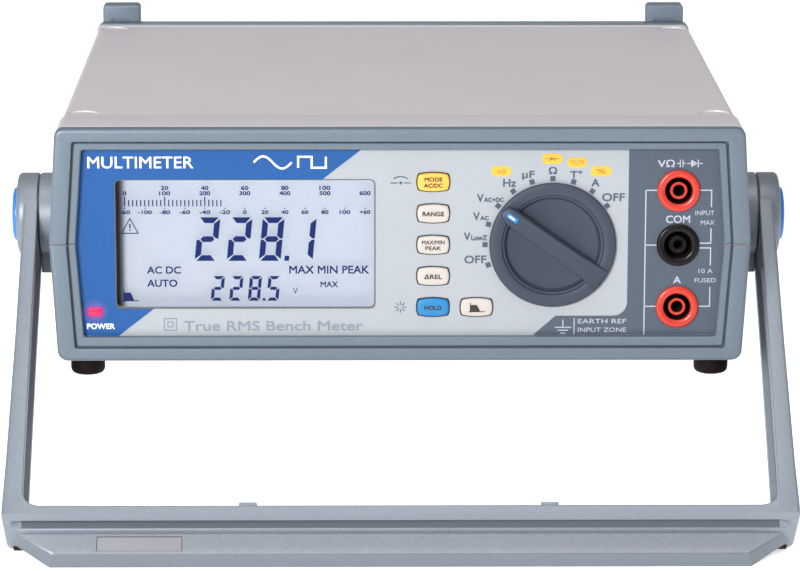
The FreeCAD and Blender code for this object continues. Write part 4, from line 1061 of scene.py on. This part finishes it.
def arm_mesh(sign):
    stations = [(0.0, 142.2, 3.0, 0.0), (18.0, 142.5, 3.2, 0.0), (21.0, 142.6, 3.2, 1.6),
                (60.0, 143.3, 4.2, 1.9), (112.0, 144.7, 6.0, 2.2), (119.0, 145.0, 5.6, 1.6),
                (126.0, 145.3, 5.0, 0.0),
                (131.0, 145.5, 4.6, 0.0), (133.6, 145.45, 4.4, 0.0), (134.0, 145.2, 4.3, 0.0),
                (134.2, 144.8, 4.2, 0.0)]
    return skin([arm_section(sign, *station) for station in stations])


def bar_section(x, corner_front, corner_back):
    """Section of the crossbar; the finger groove under its front edge is cut into it later."""
    points = [(-BAR_IN + corner_front, ARM_FRONT, 0.7), (-BAR_IN + corner_back, ARM_BACK, 1.2),
              (-BAR_FACE + 3.0, ARM_BACK, 0.8), (-BAR_FACE, ARM_BACK + 3.4, 0.8), (-BAR_FACE, ARM_FRONT, 0.3)]
    return across(x, points)


def quarter_round(s):
    """From 1 at s = 0 to 0 at s = 1 along a quarter circle."""
    return 1 - math.sqrt(max(0.0, 1 - (1 - s) ** 2))


def bar_mesh():
    """Crossbar whose ends curve round into the arms."""
    reach = 9.5
    stations = []
    for k in range(9):
        s = k / 8
        front, back = 6.4 * quarter_round(min(1.0, 1.5 * s)), reach * quarter_round(s)
        stations.append((138.5 - (reach + 1.2) * s, front, back))
    return mirrored(bar_section, stations)


def groove_mesh():
    """Cutter for the bevel, the finger groove and the relief under its ridge, with faded ends."""
    def section(x, depth):
        points = [(-BAR_FACE - 2.0, ARM_FRONT + 2.0), (-BAR_FACE + 1.15, ARM_FRONT + 2.0),
                  (-BAR_FACE + 1.15, ARM_FRONT, 0.5), (-BAR_FACE + 0.25, 10.9, 0.6),
                  (-BAR_FACE + depth, 9.2, 0.8), (-BAR_FACE + depth, 6.2, 0.6),
                  (-BAR_FACE - 0.05, 4.9, 0.35), (-BAR_FACE - 2.0, 4.8)]
        return across(x, points)
    return mirrored(section, [(148, 0.26), (142.4, 0.3), (138.8, 2.8)])


def ridge_mesh():
    """Rounded bead that runs along the lower side of the finger groove."""
    def section(x, proud):
        points = [(-BAR_FACE + 0.6, 4.9), (-BAR_FACE - proud, 4.7, 0.5), (-BAR_FACE - proud - 0.1, 3.2, 0.6),
                  (-BAR_FACE + 0.3, 0.9, 0.8), (-BAR_FACE + 0.6, 0.9)]
        return across(x, points)
    return mirrored(section, [(141.6, 0.05), (139.6, 0.55)])


def corner_cut(sign):
    """Cutter that chamfers the front face where an arm meets the crossbar."""
    points = [(sign * 141.5, -135.2), (sign * 146.4, -131.0), (sign * 149.0, -131.0), (sign * 149.0, -137.0),
              (sign * 141.5, -137.0)]
    low = [Vector((x + sign * 3.2, y - 2.6, 12.2)) for x, y in points]
    high = [Vector((x, y, ARM_FRONT + 0.6)) for x, y in points]
    return skin([low, high])


def lip_mesh():
    """Projecting foot of the crossbar with cut corners and bevelled edges."""
    def outline(inset, reach):
        end, corner = 143.6 - inset * 1.4, 129 - inset * 0.6
        half = [(-end, -BAR_FACE + 1.5, 0.0), (-end, -BAR_FACE, 0.4), (-corner, -LIP_OUT + reach, 0.8)]
        return soft(half + [(-x, y, radius) for x, y, radius in reversed(half)], 4)
    levels = [(0.6, 0.4, -8.0), (0.1, -0.15, -7.7), (0.0, -0.15, -7.2), (2.0, 2.0, -0.95), (2.4, 2.4, -0.65),
              (3.0, 3.0, -0.6)]
    return skin([lifted(outline(inset, reach), z) for inset, reach, z in levels])


def hub_mesh(sign):
    profile = [(4.2, 0.0), (15.0, 0.0), (15.8, 0.5), (15.8, 6.6), (15.55, 7.4), (15.0, 7.95), (14.3, 8.2),
               (11.6, 8.2), (11.0, 8.0), (10.55, 7.5), (10.5, 3.0), (4.2, 3.0)]
    return shifted(turned(profile, 96, ring=True), outwards(sign, HUB_X))


def button_hole(sign):
    return shifted(turned([(0, 0), (10.5, 0), (10.5, 12), (0, 12)], 96), outwards(sign, 140.0))


def handle_painted_light_slot(place):
    """Material number at a place: 1 in the finger groove (painted shade), 2 on the lip's top (painted light),
    3 on its bevel (painted shade).
    """
    if abs(place.x) < 140 and 5.0 < place.z < 9.9 and -134.1 < place.y < -130:
        return 1
    if -0.75 < place.z < -0.45 and place.y < -BAR_FACE:
        return 2
    if -7.4 < place.z < -0.75 and place.y < -BAR_FACE:
        return 3
    return 0


def spring_coils():
    """Coils of a release spring, closed up as they are with the button pressed."""
    def coil(z):
        section = [(7.6 + 0.45 * math.cos(a), z + 0.45 * math.sin(a))
                   for a in (math.radians(30 * k) for k in range(12))]
        return turned(section, 48, ring=True)
    return joined([coil(0.5), coil(1.45), coil(2.4)])


def build_handle():
    bow = combined(bar_mesh(), [arm_mesh(-1), arm_mesh(1)], "UNION")
    bow = combined(bow, [groove_mesh(), corner_cut(-1), corner_cut(1)], "DIFFERENCE")
    bow = combined(bow, [ridge_mesh(), lip_mesh()], "UNION")
    bow = combined(bow, [button_hole(-1), button_hole(1)], "DIFFERENCE")
    bow = combined(bow, [hub_mesh(-1), hub_mesh(1)], "UNION")
    recess = plate([box_outline(-111.6, -140.9, -80.2, -135.0, 0.3)], -1.3, 0.4)
    tabs = [plate([box_outline(x - 3.3, -BAR_IN - 0.4, x + 3.3, -BAR_IN + 1.2, 0.5)], 9.0, 15.3, 0.2)
            for x in (-55.8, 54.2)]
    bow = combined(bow, [recess], "DIFFERENCE")
    bow = joined([bow, *tabs])
    # painted shade in the finger groove and on the lip's bevel, painted light on the lip's top
    for face in bow.polygons:
        face.material_index = handle_painted_light_slot(face.center)
    piece("carry_handle", bow, HANDLE, "handle",
          [M["handle"], M["handle_groove_painted_shade"], M["handle_lip_painted_light"], M["handle_bevel_painted_shade"]],
          ["left_arm", "right_arm", "crossbar"], 30)
    label = plate([box_outline(-111.4, -140.7, -80.4, -135.2, 0.2)], -1.3, -0.8, 0.05)
    piece("blank_label", label, HANDLE, "handle", M["plate"], ["name_plate"])


def build_releases():
    """Blue buttons in the hubs, each over its spring."""
    profile = [(0, 2.9), (8.4, 2.9), (8.4, 0.0), (10.0, 0.0), (10.2, 0.3), (10.2, 3.6), (10.05, 4.2),
               (9.6, 4.62), (8.9, 4.85), (7.6, 4.98), (5.0, 5.06), (2.0, 5.1), (0, 5.1)]
    for sign, side in ((-1, "left"), (1, "right")):
        piece(side + "_cap", turned(profile, 96), HANDLE @ outwards(sign, 142.3), side + "_button",
              M["release"], [side + "_release"], 40)
        piece(side + "_coils", spring_coils(), HANDLE @ outwards(sign, 140.02), "handle", M["spring"],
              [side + "_release_spring"], 40)


def build_bosses():
    """Fixed bosses on the case sides, each with its stop lug below the pivot."""
    meshes = []
    for sign in (-1, 1):
        disc = turned([(4.2, 0), (15.5, 0), (15.8, 0.3), (15.8, 6.6), (15.4, 7.1), (4.2, 7.1)], 96, ring=True)
        disc.transform(outwards(sign, 129.6, PIVOT_BACK))
        x0, x1 = sorted((sign * 129.7, sign * 136.6))
        lug = plate([box_outline(x0, PIVOT_BACK - 6, x1, PIVOT_BACK + 6, 0.8)], -21.9, -3, 0.3)
        meshes.append(combined(disc, [lug], "UNION"))
    piece("side_bosses", joined(meshes), CASE, "case", M["handle"], ["pivot_bosses"])


# ---- feet, bumpers and pads

FOOT_X, BUMPER_X = 116.8, 117.0


def build_feet():
    profile = [(0, 0), (6.3, 0), (6.4, -0.2), (6.4, -5.3), (6.2, -6.3), (5.7, -7.0), (4.9, -7.4), (4.0, -7.5),
               (2.2, -7.5), (1.9, -6.9), (0, -6.9)]
    foot = turned(profile, 64)
    for name, y in (("front", 14.0), ("rear", 238.0)):
        feet = [shifted(foot, moved(sign * FOOT_X, y, -BOTTOM)) for sign in (-1, 1)]
        piece(name + "_rubber_feet", joined(feet), CASE, "case", M["rubber"], [name + "_feet"])


def build_bumpers():
    """Rear bumpers, taller than the case and grooved down their backs."""
    guards = []
    for x in (-BUMPER_X, BUMPER_X):
        guard = plate([box_outline(x - 8, -38, x + 8, 50, 1.6)], 0, 9.0, 0.8)
        groove = plate([box_outline(x - 4.6, -33, x + 4.6, 44, 1.2)], 8.2, 10)
        guards.append(combined(guard, [groove], "DIFFERENCE"))
    place = CASE @ moved(y=DEPTH + 9.0) @ turned_by(90, "X")
    piece("rear_guards", joined(guards), place, "case", M["bumper"], ["rear_bumpers"])


# ---- rear prints

def build_rear():
    """Words of the fuse holder and the inlet, a wave sign and an empty label frame."""
    wave = [(56.0 + 0.25 * k, 18.2 + math.sin(0.5 * k)) for k in range(13)]
    out = [lettering("FUSE", -44.5, -27.5, -35.5, -24.8, 0.1),
           lettering("10 A", -44.0, 8.5, -36.0, 11.0, 0.08),
           lettering("50-60 Hz", 62.0, 17.0, 82.0, 19.6, 0.08), stroke(wave, 0.4),
           stroke(box_outline(-20, -20, 20, 12), 0.35, True)]
    piece("rear_letters", joined(out), facing_rear(), "case", M["ink_white"])


# ---- studio

def build_floor():
    bm = bmesh.new()
    bmesh.ops.create_grid(bm, x_segments=8, y_segments=8, size=6.0)
    mesh = bpy.data.meshes.new("floor")
    bm.to_mesh(mesh)
    bm.free()
    paint = moulded("floor_paint", (0.9, 0.9, 0.905), 0.7, 5.0, 0.006, 0.02)
    shader = paint.node_tree.nodes["Principled BSDF"]
    shader.inputs["Emission Color"].default_value = (1, 1, 1, 1)
    shader.inputs["Emission Strength"].default_value = 0.6
    mesh.materials.append(paint)
    floor = linked("floor", mesh)
    floor.location.z = -0.0004


def build_studio():
    """White surroundings, a key light from the left, a weak warm fill and a light from above."""
    build_floor()
    world = bpy.data.worlds.new("studio")
    bpy.context.scene.world = world
    world.use_nodes = True
    background = world.node_tree.nodes["Background"]
    background.inputs["Color"].default_value = (1.0, 1.0, 1.0, 1)
    background.inputs["Strength"].default_value = 0.34
    area_light("key", (-0.75, -1.6, 0.95), (0.0, -0.05, 0.06), 0.6, 38, (1.0, 1.0, 1.0))
    area_light("fill", (1.3, -0.6, 0.8), (0.05, 0.0, 0.08), 0.9, 1.5, (1.0, 0.90, 0.84))
    area_light("top", (0.05, -0.15, 1.6), (0.0, 0.05, 0.1), 0.9, 9, (1.0, 0.985, 0.98))


def area_light(name, place, target, width, watts, colour):
    data = bpy.data.lights.new(name, "AREA")
    data.color = colour
    data.shape = "SQUARE"
    data.size = width
    data.energy = watts
    light = linked(name, data)
    light.location = place
    light.rotation_euler = (Vector(target) - Vector(place)).to_track_quat("-Z", "Y").to_euler()


def build_camera():
    """Telephoto view from a little above the case's own horizontal."""
    data = bpy.data.cameras.new("camera")
    data.sensor_width = 36.0
    data.lens = 174.2
    data.clip_start, data.clip_end = 0.1, 20.0
    camera = linked("camera", data)
    yaw, pitch, roll = -0.687, -12.886, 0.085
    camera.location = CASE @ Vector((-16.8, -1395.9, 304.0))
    case_turn = CASE.to_3x3().normalized().to_4x4()
    look = turned_by(yaw, "Z") @ turned_by(90 + pitch, "X") @ turned_by(roll, "Z")
    camera.rotation_euler = (case_turn @ look).to_euler()
    bpy.context.scene.camera = camera


# ---- assembly

finish_cad_nodes()
build_case()
build_panel()
build_prints()
build_display()
build_keys()
build_knob()
build_sockets()
build_handle()
build_releases()
build_bosses()
build_feet()
build_bumpers()
build_rear()
build_studio()
build_camera()
bpy.context.scene.view_settings.view_transform = "Standard"
